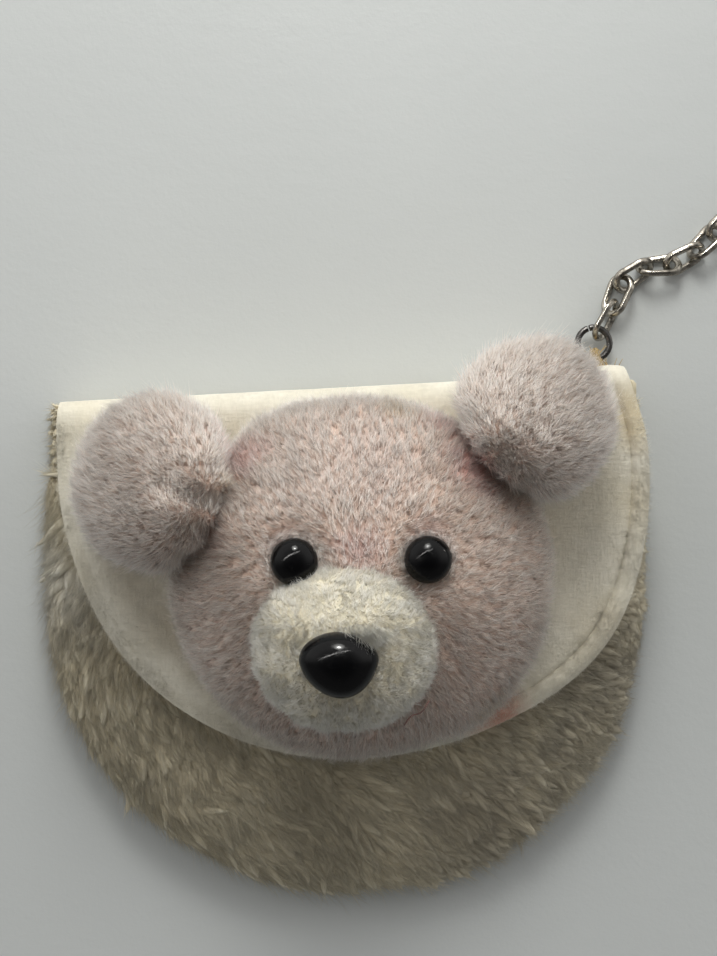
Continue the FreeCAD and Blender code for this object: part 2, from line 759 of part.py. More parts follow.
def chain_link(label, centre, heading, roll):
    """An oval link of round wire: two straight sides and two half rounds."""
    body = doc.addObject("PartDesign::Body", label)
    path = new_sketch(body, label + "_path")
    half = (size("link_long") - size("link_wide")) / 2
    radius = size("link_wide") / 2 - size("link_wire_radius")
    up = FreeCAD.Vector(0, 0, 1)
    right_centre, left_centre = FreeCAD.Vector(half, 0, 0), FreeCAD.Vector(-half, 0, 0)
    low = Part.LineSegment(FreeCAD.Vector(-half, -radius, 0), FreeCAD.Vector(half, -radius, 0))
    high = Part.LineSegment(FreeCAD.Vector(half, radius, 0), FreeCAD.Vector(-half, radius, 0))
    right = Part.ArcOfCircle(Part.Circle(right_centre, up, radius), -math.pi / 2, math.pi / 2)
    left = Part.ArcOfCircle(Part.Circle(left_centre, up, radius), math.pi / 2, 3 * math.pi / 2)
    low_line, right_arc, high_line, left_arc = path.addGeometry([low, right, high, left])
    joins = (
        (low_line, 2, right_arc, 1),
        (right_arc, 2, high_line, 1),
        (high_line, 2, left_arc, 1),
        (left_arc, 2, low_line, 1),
    )
    for first, end, second, start in joins:
        path.addConstraint(Sketcher.Constraint("Tangent", first, end, second, start))
    path.addConstraint(Sketcher.Constraint("Horizontal", low_line))
    path.addConstraint(Sketcher.Constraint("Symmetric", right_arc, 3, left_arc, 3, -1, 1))
    middle = "sizes.link_wide / 2 - sizes.link_wire_radius"
    straight = "sizes.link_long - sizes.link_wide"
    fix(path, "bend", middle, "Radius", right_arc, radius)
    fix(path, "straight", straight, "DistanceX", left_arc, 3, right_arc, 3, 2 * half)
    profile = new_sketch(body, label + "_wire", "YZ_Plane")
    wire = profile.addGeometry(Part.Circle(FreeCAD.Vector(-radius, 0, 0), up, size("link_wire_radius")))
    profile.addConstraint(Sketcher.Constraint("PointOnObject", wire, 3, -1))
    fix(profile, "thick", "sizes.link_wire_radius", "Radius", wire, size("link_wire_radius"))
    fix(profile, "offset", middle, "DistanceX", wire, 3, -1, 1, radius)
    pipe = body.newObject("PartDesign::AdditivePipe", label + "_pipe")
    pipe.Profile = profile
    pipe.Spine = path
    body.Placement = FreeCAD.Placement(centre, lean_about(heading, roll))
    node(body, label)


def along(heading, distance):
    angle = math.radians(heading)
    return FreeCAD.Vector(distance * math.cos(angle), distance * math.sin(angle), 0)


def split_ring(centre, heading, tilt):
    """A flat spring-wire ring of two coils, with a groove between them."""
    body = doc.addObject("PartDesign::Body", "split_ring")
    sketch = new_sketch(body, "split_profile", "XZ_Plane")
    wide, coil = size("split_wide"), size("split_coil_high")
    inner = size("split_radius") - wide
    notch = size("split_notch")
    corners = [
        (inner, 0),
        (inner + wide, 0),
        (inner + wide, coil - notch),
        (inner + wide - notch, coil),
        (inner + wide, coil + notch),
        (inner + wide, 2 * coil),
        (inner, 2 * coil),
        (inner, coil + notch),
        (inner + notch, coil),
        (inner, coil - notch),
    ]
    count = len(corners)
    points = [FreeCAD.Vector(a, b, 0) for a, b in corners]
    lines = []
    for k in range(count):
        lines.append(sketch.addGeometry(Part.LineSegment(points[k], points[(k + 1) % count])))
    for k in range(count):
        sketch.addConstraint(Sketcher.Constraint("Coincident", lines[k], 2, lines[(k + 1) % count], 1))
    for k, (a, b) in enumerate(corners):
        in_from_rim = inner + wide - a
        fix(sketch, f"x{k}", f"sizes.split_radius - {in_from_rim:.2f}", "DistanceX", -1, 1, lines[k], 1, a)
        if b == 0:
            sketch.addConstraint(Sketcher.Constraint("PointOnObject", lines[k], 1, -1))
            continue
        fix(sketch, f"z{k}", f"sizes.split_coil_high * {b / coil:.2f}", "DistanceY", -1, 1, lines[k], 1, b)
    turned = body.newObject("PartDesign::Revolution", "split_turned")
    turned.Profile = sketch
    turned.ReferenceAxis = (sketch, ["V_Axis"])
    turned.Angle = 360
    turn = FreeCAD.Rotation(FreeCAD.Vector(0, 0, 1), heading)
    body.Placement = FreeCAD.Placement(centre, turn.multiply(FreeCAD.Rotation(FreeCAD.Vector(0, 1, 0), tilt)))
    node(body, "split_ring")


def resting_height(middle_radius, wire_radius, roll):
    """Height of a leaning link's or ring's centre when its wire touches the table."""
    return middle_radius * math.sin(math.radians(abs(roll))) + wire_radius


def chain():
    """Jump ring, links that lean one way and the other in turn, end ring and split ring."""
    overlap, pitch = size("hook_overlap"), size("link_pitch")
    link_middle = size("link_wide") / 2 - size("link_wire_radius")
    hub = FreeCAD.Vector(size("loop_x"), size("loop_end_y") + size("ring_radius"), size("ring_high"))
    wire_ring("jump_ring", "sizes.ring_radius", hub, 0, 0)
    hook = hub + along(LINKS[0][0], size("ring_radius") - overlap)
    hooks = []
    for number, (heading, roll) in enumerate(LINKS, start=1):
        label = f"chain_link_{number:02d}"
        hook.z = resting_height(link_middle, size("link_wire_radius"), roll)
        if number == len(LINKS):
            hook.z += size("last_link_lift")
        hooks.append((label, hook, heading))
        chain_link(label, hook + along(heading, pitch / 2), heading, roll)
        hook = hook + along(heading, pitch)
    last = LINKS[-1][0]
    hooks.append(("end_ring", hook, last))
    end_radius = size("end_ring_radius")
    end_centre = hook + along(last, end_radius - size("end_overlap"))
    end_centre.z = resting_height(end_radius, size("ring_wire_radius"), END_RING_ROLL)
    wire_ring("end_ring", "sizes.end_ring_radius", end_centre, last, END_RING_ROLL)
    held = end_centre + along(last, size("split_seat"))
    hooks.append(("split_ring", held, last))
    # The split ring lies on the table at its far side, and the end ring holds up its near side.
    coil = size("split_coil_high")
    middle_radius = size("split_radius") - size("split_wide") / 2
    near_height = held.z - coil
    tilt = math.asin(near_height / (2 * middle_radius))
    centre = held + along(last, middle_radius * math.cos(tilt) - coil * math.sin(tilt))
    centre.z = held.z - middle_radius * math.sin(tilt) - coil * math.cos(tilt)
    split_ring(centre, last, math.degrees(tilt))
    return hooks


pouch_panels()
pouch_linings()
mouth_binding()
seam_thread()
hinge_strip()
hang_loop()
snap_halves()
flap_panels()
flap_topstitch()
head()
muzzle()
nose()
eye("left_eye")
eye("right_eye")
ear("left", "sizes.ear_left_x", "sizes.ear_left_y", 180)
ear("right", "sizes.ear_right_x", "sizes.ear_right_y", 0)
hooks = chain()
doc.recompute()

for item in doc.Objects:
    if "Invalid" in item.State or "Error" in item.State:
        raise RuntimeError(f"{item.Label} failed: {item.State}")
for item in nodes:
    if item.Shape.isNull() or not item.Shape.isValid():
        raise RuntimeError(f"{item.Label} has no valid shape")
    item.Shape.exportStep(f"parts/{item.Label}.step")
    box_of = item.Shape.BoundBox
    print(
        f"{item.Label:20s} solids {len(item.Shape.Solids):3d}  volume {item.Shape.Volume:10.2f}"
        f"  x {box_of.XMin:7.2f} {box_of.XMax:7.2f}  y {box_of.YMin:7.2f} {box_of.YMax:7.2f}"
        f"  z {box_of.ZMin:6.2f} {box_of.ZMax:6.2f}"
    )
for label, point, heading in hooks:
    print(f"{label:20s} turns about x {point.x:.2f}  y {point.y:.2f}  z {point.z:.2f}  heading {heading}")
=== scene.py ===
import math

import bpy
import numpy as np
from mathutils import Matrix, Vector


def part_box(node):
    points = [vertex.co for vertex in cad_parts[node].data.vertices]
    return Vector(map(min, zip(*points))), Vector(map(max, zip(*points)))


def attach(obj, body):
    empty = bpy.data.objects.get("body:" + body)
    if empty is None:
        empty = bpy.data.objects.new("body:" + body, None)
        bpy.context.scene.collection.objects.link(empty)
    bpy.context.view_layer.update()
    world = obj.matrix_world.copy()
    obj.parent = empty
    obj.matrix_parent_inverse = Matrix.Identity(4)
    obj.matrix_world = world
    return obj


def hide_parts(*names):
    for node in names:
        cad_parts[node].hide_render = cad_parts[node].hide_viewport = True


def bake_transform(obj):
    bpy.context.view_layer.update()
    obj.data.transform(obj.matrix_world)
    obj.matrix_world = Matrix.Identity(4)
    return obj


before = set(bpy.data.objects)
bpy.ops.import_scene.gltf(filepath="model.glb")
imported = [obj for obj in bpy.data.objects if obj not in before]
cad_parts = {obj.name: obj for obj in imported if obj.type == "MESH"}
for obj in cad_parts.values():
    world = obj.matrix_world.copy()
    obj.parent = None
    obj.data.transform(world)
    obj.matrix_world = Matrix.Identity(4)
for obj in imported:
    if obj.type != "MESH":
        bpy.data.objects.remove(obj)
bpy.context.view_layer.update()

MM = 0.001
rng = np.random.default_rng(11)

# Sizes and places, in millimetres. They follow the CAD part.
POUCH_R, POUCH_Y = 44.3, 8.5
MOUTH_Y, FOLD_Y = 27.0, 38.2
LINING_R, LINING_TOP = 41.4, FOLD_Y - 1.4
FLAP_R, FLAP_X, FLAP_Y = 42.5, 1.0, 27.5
TILT = 0.052
FOLD_R, FLAP_MID = 2.6, 13.2
HEAD = np.array([2.2, 11.7, 17.6])
HEAD_HALF = np.array([26.1, 24.6, 12.6])
MUZZLE = np.array([-0.1, 1.7, 26.6])
MUZZLE_HALF = np.array([12.4, 11.0, 9.3])
EARS = {"left": np.array([-26.2, 24.6, 23.0]), "right": np.array([26.6, 33.7, 23.0])}
EAR_HALVES = {"left": np.array([11.0, 12.1, 8.4]), "right": np.array([10.6, 10.8, 8.4])}
EYES = {"left_eye": np.array([-6.9, 13.9, 29.5]), "right_eye": np.array([11.5, 14.2, 29.6])}
EYE_R = 3.4
NOSE = np.array([-0.7, 0.4, 36.0])
NOSE_FRINGE = (2.4, 4.9, 36.0)
NAP_HAIRS, LASHES = 46000, 260
HEAD_TUFTS, MUZZLE_TUFTS, FRINGE_TUFTS = 5900, 4300, 190
EAR_TUFTS = {"front": 3400, "back": 1500}
UP = np.array([0, 0, 1.0])


# ---- numbers ----


def noise(points, scale, seed=0):
    """Smooth noise from -1 to 1 at each point. Its lumps are about scale across."""
    q = np.asarray(points, float) / scale
    low = np.floor(q).astype(np.int64)
    f = q - low
    f = f * f * (3 - 2 * f)
    total = np.zeros(len(q))
    for corner in np.ndindex(2, 2, 2):
        i = low + np.array(corner)
        h = (i[:, 0] * 73856093) ^ (i[:, 1] * 19349663) ^ (i[:, 2] * 83492791) ^ (seed * 2654435)
        h = ((h ^ (h >> 13)) * 1274126177) & 0xFFFFFFFF
        h = ((h ^ (h >> 15)) * 668265263) & 0xFFFFFFFF
        total += np.where(corner, f, 1 - f).prod(1) * (((h ^ (h >> 16)) & 0xFFFF) / 32767.5 - 1)
    return total


def unit(v):
    return v / np.maximum(np.linalg.norm(v, axis=-1, keepdims=True), 1e-12)


def smooth_step(x, low, high):
    t = np.clip((x - low) / (high - low), 0, 1)
    return t * t * (3 - 2 * t)


def bump(points, centre, radius):
    """1 at the centre, falling to 0 well past the radius."""
    d = np.linalg.norm((points - np.asarray(centre)) / np.asarray(radius, float), axis=1)
    return np.exp(-d * d)


def hill(x, middle, width):
    """The same along one measure."""
    return np.exp(-(((x - middle) / width) ** 2))


def inside(points, centre, half):
    return (((points - centre) / half) ** 2).sum(1) < 1


def turns(count):
    """Angles spread evenly round a circle."""
    return np.linspace(0, 2 * math.pi, count, endpoint=False)


def level_noise(x, y, scale, seed):
    """The noise over a flat outline, in the shape of its arrays."""
    place = np.stack([x, y, 0 * x], -1).reshape(-1, 3)
    return noise(place, scale, seed).reshape(np.shape(x))


def wander(points, scale, seed):
    """A level direction that changes slowly over a surface."""
    return np.stack([noise(points, scale, seed), noise(points, scale, seed + 1), 0 * points[:, 0]], 1)


# ---- meshes ----


def mesh(name, points, faces, material):
    """A smooth-shaded mesh object from points in millimetres and arrays of polygons."""
    data = bpy.data.meshes.new(name)
    data.vertices.add(len(points))
    data.vertices.foreach_set("co", (np.asarray(points) * MM).astype(np.float32).ravel())
    loops = np.concatenate([f.ravel() for f in faces]).astype(np.int32)
    sides = np.concatenate([np.full(len(f), f.shape[1]) for f in faces])
    data.loops.add(len(loops))
    data.loops.foreach_set("vertex_index", loops)
    data.polygons.add(len(sides))
    data.polygons.foreach_set("loop_start", np.concatenate([[0], np.cumsum(sides)[:-1]]).astype(np.int32))
    data.update(calc_edges=True)
    data.validate()
    data.shade_smooth()
    data.materials.append(material)
    obj = bpy.data.objects.new(name, data)
    bpy.context.scene.collection.objects.link(obj)
    return obj


def grid_faces(rows, cols, wrap=False):
    """Quads between the rows of a grid of points."""
    r, c = np.meshgrid(np.arange(rows - 1), np.arange(cols if wrap else cols - 1), indexing="ij")
    n = (c + 1) % cols
    quads = np.stack([r * cols + c, r * cols + n, (r + 1) * cols + n, (r + 1) * cols + c], -1)
    return quads.reshape(-1, 4)


def fan(ring_start, cols, hub, flip=False):
    """Triangles from a closed ring of points to one point."""
    c = np.arange(cols)
    ends = [ring_start + c, ring_start + (c + 1) % cols, np.full(cols, hub)]
    if flip:
        ends[0], ends[1] = ends[1], ends[0]
    return np.stack(ends, 1)


def capped(rows, cols, turned=True):
    """Faces of stacked closed rings. The first and last ring each close on one further point."""
    quads = grid_faces(rows, cols, True)
    ends = [fan(0, cols, rows * cols, not turned), fan((rows - 1) * cols, cols, rows * cols + 1, turned)]
    return [quads[:, ::-1] if turned else quads, *ends]


def wheel(rings, hub):
    """Faces and points of nested closed rings, the outermost first, that end in one point."""
    rows, cols = rings.shape[:2]
    points = np.concatenate([rings.reshape(-1, 3), [hub]])
    return points, [grid_faces(rows, cols, True), fan((rows - 1) * cols, cols, rows * cols)]


def baked(obj):
    """The object with its modifiers applied."""
    graph = bpy.context.evaluated_depsgraph_get()
    data = bpy.data.meshes.new_from_object(obj.evaluated_get(graph), depsgraph=graph)
    obj.modifiers.clear()
    obj.data = data
    return obj


def thicken(obj, thick):
    """Gives a cloth surface its thickness and a rounded edge."""
    solid = obj.modifiers.new("thick", "SOLIDIFY")
    solid.thickness = thick * MM
    solid.offset = 0
    edge = obj.modifiers.new("edge", "BEVEL")
    edge.width = thick * 0.4 * MM
    edge.segments = 3
    edge.limit_method = "ANGLE"
    edge.angle_limit = math.radians(55)
    baked(obj)
    obj.data.shade_smooth()
    return obj


def lathe(name, profile, centre, material, cols=64, around=None):
    """A closed turned form. The profile is (radius, height) from the top's middle to the underside's."""
    around = circle(1.0, cols) if around is None else around
    rings = [np.concatenate([around * r, np.full((cols, 1), h)], 1) for r, h in profile[1:-1]]
    points = np.concatenate([*rings, [[0, 0, profile[0][1]], [0, 0, profile[-1][1]]]])
    return mesh(name, points + np.asarray(centre), capped(len(rings), cols), material)


def tube(path, section, normals=UP, closed=False):
    """Points and faces of a section swept along a path, in the plane of the normal and the side."""
    path = np.asarray(path, float)
    ahead = unit(np.roll(path, -1, 0) - np.roll(path, 1, 0) if closed else np.gradient(path, axis=0))
    side = unit(np.cross(ahead, normals))
    up = np.cross(side, ahead)
    section = np.asarray(section, float)
    if section.ndim == 2:
        section = np.broadcast_to(section, (len(path), *section.shape))
    points = path[:, None] + section[..., :1] * side[:, None] + section[..., 1:] * up[:, None]
    rows, cols = points.shape[:2]
    flat = points.reshape(-1, 3)
    if closed:
        return flat, [grid_faces(rows + 1, cols, True) % (rows * cols)]
    return np.concatenate([flat, [path[0], path[-1]]]), capped(rows, cols, False)


def circle(radius, count, flat=0.0, turn=0.0):
    """A section's outline: round, or with four flats."""
    a = turns(count)
    r = radius * (1 - flat * np.cos(4 * (a - turn)))
    return np.stack([r * np.cos(a), r * np.sin(a)], 1)


def joined(parts):
    """Several (points, faces) as one."""
    points, quads, triangles, start = [], [], [], 0
    for p, faces in parts:
        points.append(p)
        for f in faces:
            (quads if f.shape[1] == 4 else triangles).append(f + start)
        start += len(p)
    return np.concatenate(points), [np.concatenate(g) for g in (quads, triangles) if g]


def read(items, key, kind=float):
    """The three values that each of a mesh's items holds, as rows."""
    out = np.empty(len(items) * 3, kind)
    items.foreach_get(key, out)
    return out.reshape(-1, 3)


def surface_points(obj, count, keep):
    """Points spread over a mesh with their normals, in millimetres. They are denser where keep is larger."""
    data = obj.data
    data.calc_loop_triangles()
    co = read(data.vertices, "co") / MM
    normal = read(data.vertex_normals, "vector")
    tri = read(data.loop_triangles, "vertices", int)
    a, b, c = co[tri[:, 0]], co[tri[:, 1]], co[tri[:, 2]]
    area = np.linalg.norm(np.cross(b - a, c - a), axis=1) * keep((a + b + c) / 3, unit(normal[tri].mean(1)))
    total = np.cumsum(area)
    pick = np.searchsorted(total, (np.arange(count) + rng.random(count)) / count * total[-1])
    pick = np.minimum(pick, len(tri) - 1)
    u, v = rng.random((2, count))
    fold = u + v > 1
    u[fold], v[fold] = 1 - u[fold], 1 - v[fold]
    t = tri[pick]
    w = np.stack([1 - u - v, u, v], 1)[..., None]
    return (co[t] * w).sum(1), unit((normal[t] * w).sum(1))


class Tufts:
    """Where tufts of pile stand, which way each leaves its root and ends, and how long it is."""

    def __init__(self, roots, normals, lean, long, up=0.5, swing=0.35, floor=None, wide=0.0, curl=0.0):
        count = len(roots)
        self.roots, self.normals, self.floor = roots, normals, floor
        self.lean = unit(lean - (lean * normals).sum(1, keepdims=True) * normals)
        self.across = np.cross(normals, self.lean)
        self.long = np.broadcast_to(long, count) * (1 + 0.2 * rng.normal(size=count)).clip(0.5, 1.5)
        up = np.broadcast_to(up, count)[:, None]
        aside = rng.normal(scale=swing, size=(count, 1))
        self.first = unit(normals * (up + 0.35) + self.lean * (1 - up) + self.across * aside)
        self.last = unit(normals * up * 0.6 + self.lean * (1.1 - up) + self.across * aside * 1.6)
        self.shade = rng.random(count)
        self.half = wide * (0.75 + 0.5 * rng.random(count)) / 2
        self.curl = curl

    def middle(self, tuft, t, long):
        """A tuft's middle line at a share t of its length."""
        t = np.broadcast_to(t, len(tuft))[:, None]
        way = self.first[tuft] * (t - 0.5 * t * t) + self.last[tuft] * 0.62 * t * t
        bend = self.curl * t * np.sin(2 * math.pi * self.shade[tuft][:, None] + 3.4 * t)
        return self.roots[tuft] + way * long[:, None] + self.across[tuft] * bend

    def above(self, points):
        if self.floor is not None:
            points[..., 2] = np.maximum(points[..., 2], self.floor)
        return points


def taper(t):
    """A lock's width along its length: full near the root, then tapering to a point."""
    return 0.72 + 0.5 * t - 1.12 * t**3


def hairs(tufts, per, spread, wide, steps=1, gather=0.1, stray=0.12, thick=0.0):
    """Fine tapered hairs, per of them in each tuft, as (points, faces, along, shade).

    With a thickness they lie on the outside of the tuft's lock instead of standing about its root."""
    count = len(tufts.roots)
    tuft = np.repeat(np.arange(count), per)
    total = len(tuft)
    lean, across, normals = tufts.lean[tuft], tufts.across[tuft], tufts.normals[tuft]
    reach = tufts.long[tuft] * (1 + 0.16 * rng.normal(size=total)).clip(0.5, 1.5)
    strays = rng.normal(scale=stray, size=(total, 3))
    if thick:
        angle = (0.05 + 0.9 * rng.random(total)) * math.pi
        out = tufts.half[tuft] * (1.02 + 0.1 * rng.random(total))
        begin = 0.75 * rng.random(total)
    else:
        angle = rng.random(total) * 2 * math.pi
        out = spread * np.sqrt(rng.random(total))
        begin = np.zeros(total)
    s = np.linspace(0, 1, steps + 1)
    centre = []
    for part in s:
        t = begin + (1.04 - begin) * part if thick else np.full(total, part)
        point = tufts.middle(tuft, t, reach)
        if thick:
            r = out * taper(t)
            point += (np.cos(angle) * r)[:, None] * across + (np.sin(angle) * r * thick)[:, None] * normals
        else:
            open_by = out * (1 - gather * t)
            point += (np.cos(angle) * open_by)[:, None] * lean + (np.sin(angle) * open_by)[:, None] * across
        point += strays * (reach * part * part)[:, None]
        centre.append(tufts.above(point))
    if not thick:
        centre[0] = centre[0] - normals * 0.25
    helper = unit(rng.normal(size=(total, 3)))
    girth = wide * (0.75 + 0.5 * rng.random(total)) / 2
    levels = []
    for k in range(steps):
        ahead = unit(centre[k + 1] - centre[k])
        side = unit(np.cross(ahead, helper))
        other = np.cross(ahead, side)
        r = girth * (1 - 0.5 * s[k] ** 1.5)
        for j in range(3):
            a = 2 * math.pi * j / 3
            levels.append(centre[k] + r[:, None] * (math.cos(a) * side + math.sin(a) * other))
    levels.append(centre[steps])
    points = np.stack(levels, 1)
    each = 3 * steps + 1
    start = (np.arange(total) * each)[:, None, None]
    quads, triangles = [], [[2, 1, 0]]
    for k in range(steps - 1):
        for j in range(3):
            n = (j + 1) % 3
            quads.append([3 * k + j, 3 * k + n, 3 * k + 3 + n, 3 * k + 3 + j])
    top = 3 * (steps - 1)
    for j in range(3):
        triangles.append([top + j, top + (j + 1) % 3, each - 1])
    faces = [(np.array(triangles)[None] + start).reshape(-1, 3)]
    if quads:
        faces.insert(0, (np.array(quads)[None] + start).reshape(-1, 4))
    ramp = np.concatenate([np.repeat(s[:-1], 3), [1.0]])
    along = (begin[:, None] + (1 - begin[:, None]) * ramp[None]).ravel()
    shade = np.repeat(0.35 * tufts.shade[tuft] + 0.65 * rng.random(total), each)
    return points.reshape(-1, 3), faces, along, shade


LOCK_SIDES = 7
LOCK_LEVELS = np.array([0.0, 0.22, 0.45, 0.66, 0.84])


def locks(tufts, thick):
    """One soft closed lock of wool per tuft, ridged along its length, as (points, faces, along, shade)."""
    count = len(tufts.roots)
    tuft = np.arange(count)
    turn = turns(LOCK_SIDES)
    phase = tufts.shade[:, None] * 2 * math.pi
    rings = []
    for t in LOCK_LEVELS:
        middle = tufts.middle(tuft, t, tufts.long)
        ridge = 1 + 0.1 * np.cos(3 * turn + phase + 1.5 * t)
        ridge = ridge + 0.05 * rng.normal(size=(count, LOCK_SIDES))
        r = tufts.half[:, None] * ridge * taper(t)
        round_side = (np.cos(turn)[None] * r)[..., None] * tufts.across[:, None]
        round_up = (np.sin(turn)[None] * r * thick)[..., None] * tufts.normals[:, None]
        rings.append(tufts.above(middle[:, None] + round_side + round_up))
    rings[0] = rings[0] - tufts.normals[:, None] * 0.3
    tip = tufts.above(tufts.middle(tuft, 1.0, tufts.long))
    points = np.concatenate([*rings, tip[:, None], rings[0].mean(1, keepdims=True)], 1)
    each = points.shape[1]
    rows = len(LOCK_LEVELS)
    start = (tuft * each)[:, None, None]
    quads = grid_faces(rows, LOCK_SIDES, True)[:, ::-1]
    ends = np.concatenate([fan((rows - 1) * LOCK_SIDES, LOCK_SIDES, rows * LOCK_SIDES, True),
                           fan(0, LOCK_SIDES, rows * LOCK_SIDES + 1)])
    faces = [(quads[None] + start).reshape(-1, 4), (ends[None] + start).reshape(-1, 3)]
    along = np.tile(np.concatenate([np.repeat(LOCK_LEVELS, LOCK_SIDES), [1.0, 0.0]]), count)
    return points.reshape(-1, 3), faces, along, np.repeat(0.4 + 0.2 * tufts.shade, each)


def pile(name, groups, material, skin):
    """One piece from groups of hairs and locks, fixed to the cloth that it grows on."""
    points, faces = joined([g[:2] for g in groups])
    obj = mesh(name, points, faces, material)
    for label, k in (("along", 2), ("strand", 3)):
        values = obj.data.attributes.new(label, "FLOAT", "POINT")
        values.data.foreach_set("value", np.concatenate([g[k] for g in groups]).astype(np.float32))
    obj.parent = skin
    return obj


# ---- materials ----


class Paint:
    """A Principled material and the nodes that feed it."""

    def __init__(self, name, **values):
        self.material = bpy.data.materials.new(name)
        self.material.use_nodes = True
        self.tree = self.material.node_tree
        self.shader = self.tree.nodes["Principled BSDF"]
        for socket, value in values.items():
            self.shader.inputs[socket.replace("_", " ")].default_value = value
        self.place = self.tree.nodes.new("ShaderNodeTexCoord").outputs["Object"]

    def link(self, a, b):
        self.tree.links.new(a, b)

    def put(self, socket, value):
        if isinstance(value, bpy.types.NodeSocket):
            self.link(value, socket)
        else:
            socket.default_value = value

    def attribute(self, name):
        node = self.tree.nodes.new("ShaderNodeAttribute")
        node.attribute_name = name
        return node.outputs["Fac"]

    def noise(self, scale, detail=3.0, rough=0.55, place=None):
        node = self.tree.nodes.new("ShaderNodeTexNoise")
        node.inputs["Scale"].default_value = scale
        node.inputs["Detail"].default_value = detail
        node.inputs["Roughness"].default_value = rough
        self.link(place or self.place, node.inputs["Vector"])
        return node.outputs["Fac"]

    def stretched(self, scale, turn=0.0):
        """The place, scaled by axis, for streaks."""
        node = self.tree.nodes.new("ShaderNodeMapping")
        node.inputs["Scale"].default_value = scale
        node.inputs["Rotation"].default_value = (0, 0, turn)
        self.link(self.place, node.inputs["Vector"])
        return node.outputs["Vector"]

    def ramp(self, value, low, high, to_low=0.0, to_high=1.0):
        node = self.tree.nodes.new("ShaderNodeMapRange")
        node.interpolation_type = "SMOOTHSTEP"
        for i, v in enumerate((value, low, high, to_low, to_high)):
            self.put(node.inputs[i], v)
        return node.outputs[0]

    def math(self, kind, a, b=0.0):
        node = self.tree.nodes.new("ShaderNodeMath")
        node.operation = kind
        self.put(node.inputs[0], a)
        self.put(node.inputs[1], b)
        return node.outputs[0]

    def mix(self, amount, a, b, kind="MIX"):
        node = self.tree.nodes.new("ShaderNodeMix")
        node.data_type = "RGBA"
        node.blend_type = kind
        self.put(node.inputs["Factor"], amount)
        for socket, value in ((node.inputs[6], a), (node.inputs[7], b)):
            self.put(socket, value if isinstance(value, bpy.types.NodeSocket) else (*value, 1.0))
        return node.outputs[2]

    def stain_and_shade(self, colour, centre, radius, tint, strength):
        """A ragged, soft-edged patch of another colour about a point in millimetres: a real stain, or a patch
        of painted shade or painted light.
        """
        node = self.tree.nodes.new("ShaderNodeVectorMath")
        node.operation = "DISTANCE"
        self.link(self.place, node.inputs[0])
        node.inputs[1].default_value = [c * MM for c in centre]
        ragged = self.math("MULTIPLY", self.noise(260.0), radius * 0.9 * MM)
        reach = self.math("ADD", node.outputs["Value"], ragged)
        amount = self.ramp(reach, radius * 0.5 * MM, radius * 1.5 * MM, strength, 0.0)
        return self.mix(amount, colour, tint)

    def bumps(self, height, strength, distance):
        node = self.tree.nodes.new("ShaderNodeBump")
        node.inputs["Strength"].default_value = strength
        node.inputs["Distance"].default_value = distance * MM
        self.link(height, node.inputs["Height"])
        self.link(node.outputs["Normal"], self.shader.inputs["Normal"])

    def colour(self, value):
        self.put(self.shader.inputs["Base Color"], value)
        return self.material


def pile_paint(name, root, middle, tip, stains_and_shade=(), patch=0.25, rough=0.8, shine=0.25, shades=(0.82, 1.14),
               glow=0.0):
    """Hairs that are darker at the root and paler at the tip, with uneven patches. The pale tips are partly
    the pile's own colour and partly painted glow of light scattered through the fibres' ends; the patches it
    is given are real stains, painted shade and painted light.
    """
    p = Paint(name, Roughness=rough, Sheen_Weight=0.12, Sheen_Roughness=0.4, Specular_IOR_Level=shine,
              Subsurface_Weight=glow, Subsurface_Scale=0.0015, Subsurface_Radius=(1.0, 0.85, 0.7))
    along, strand = p.attribute("along"), p.attribute("strand")
    colour = p.mix(p.ramp(along, 0.0, 0.5), root, middle)
    colour = p.mix(p.ramp(along, 0.35, 1.0), colour, tip)
    for stain_and_shade in stains_and_shade:
        colour = p.stain_and_shade(colour, *stain_and_shade)
    cloud = p.ramp(p.noise(170.0), 0.35, 0.7, 0.0, patch)
    colour = p.mix(cloud, colour, middle)
    shade = p.ramp(strand, 0.0, 1.0, *shades)
    grey = p.tree.nodes.new("ShaderNodeCombineColor")
    for i in range(3):
        p.link(shade, grey.inputs[i])
    return p.colour(p.mix(1.0, colour, grey.outputs[0], "MULTIPLY"))


def skin_paint(name, dark, light, stains_and_shade=()):
    """Knitted backing under pile."""
    p = Paint(name, Roughness=0.95, Specular_IOR_Level=0.1)
    fine = p.noise(420.0)
    colour = p.mix(p.ramp(fine, 0.35, 0.65), dark, light)
    for stain_and_shade in stains_and_shade:
        colour = p.stain_and_shade(colour, *stain_and_shade)
    p.bumps(fine, 0.5, 0.2)
    return p.colour(colour)


def cotton_paint(name, dark, light, stains_and_shade=(), weave=2600.0):
    """Brushed cotton: a fine weave, soft nap and slow unevenness."""
    p = Paint(name, Roughness=0.92, Sheen_Weight=0.25, Sheen_Roughness=0.6, Specular_IOR_Level=0.2)
    across = p.noise(1.0, 2.0, 0.5, p.stretched((weave, weave * 0.22, weave * 0.5), 0.15))
    along = p.noise(1.0, 2.0, 0.5, p.stretched((weave * 0.22, weave, weave * 0.5), 0.15))
    thread = p.math("MULTIPLY", across, along)
    slow = p.noise(75.0, 4.0)
    colour = p.mix(p.ramp(slow, 0.3, 0.7), dark, light)
    colour = p.mix(p.ramp(p.noise(420.0, 4.0, 0.65), 0.42, 0.72, 0.0, 0.35), colour, [c * 0.8 for c in dark])
    colour = p.mix(p.ramp(thread, 0.16, 0.34, 0.14, 0.0), colour, [c * 0.62 for c in dark])
    for stain_and_shade in stains_and_shade:
        colour = p.stain_and_shade(colour, *stain_and_shade)
    p.bumps(p.math("ADD", thread, p.math("MULTIPLY", p.noise(900.0), 0.4)), 0.55, 0.25)
    return p.colour(colour)


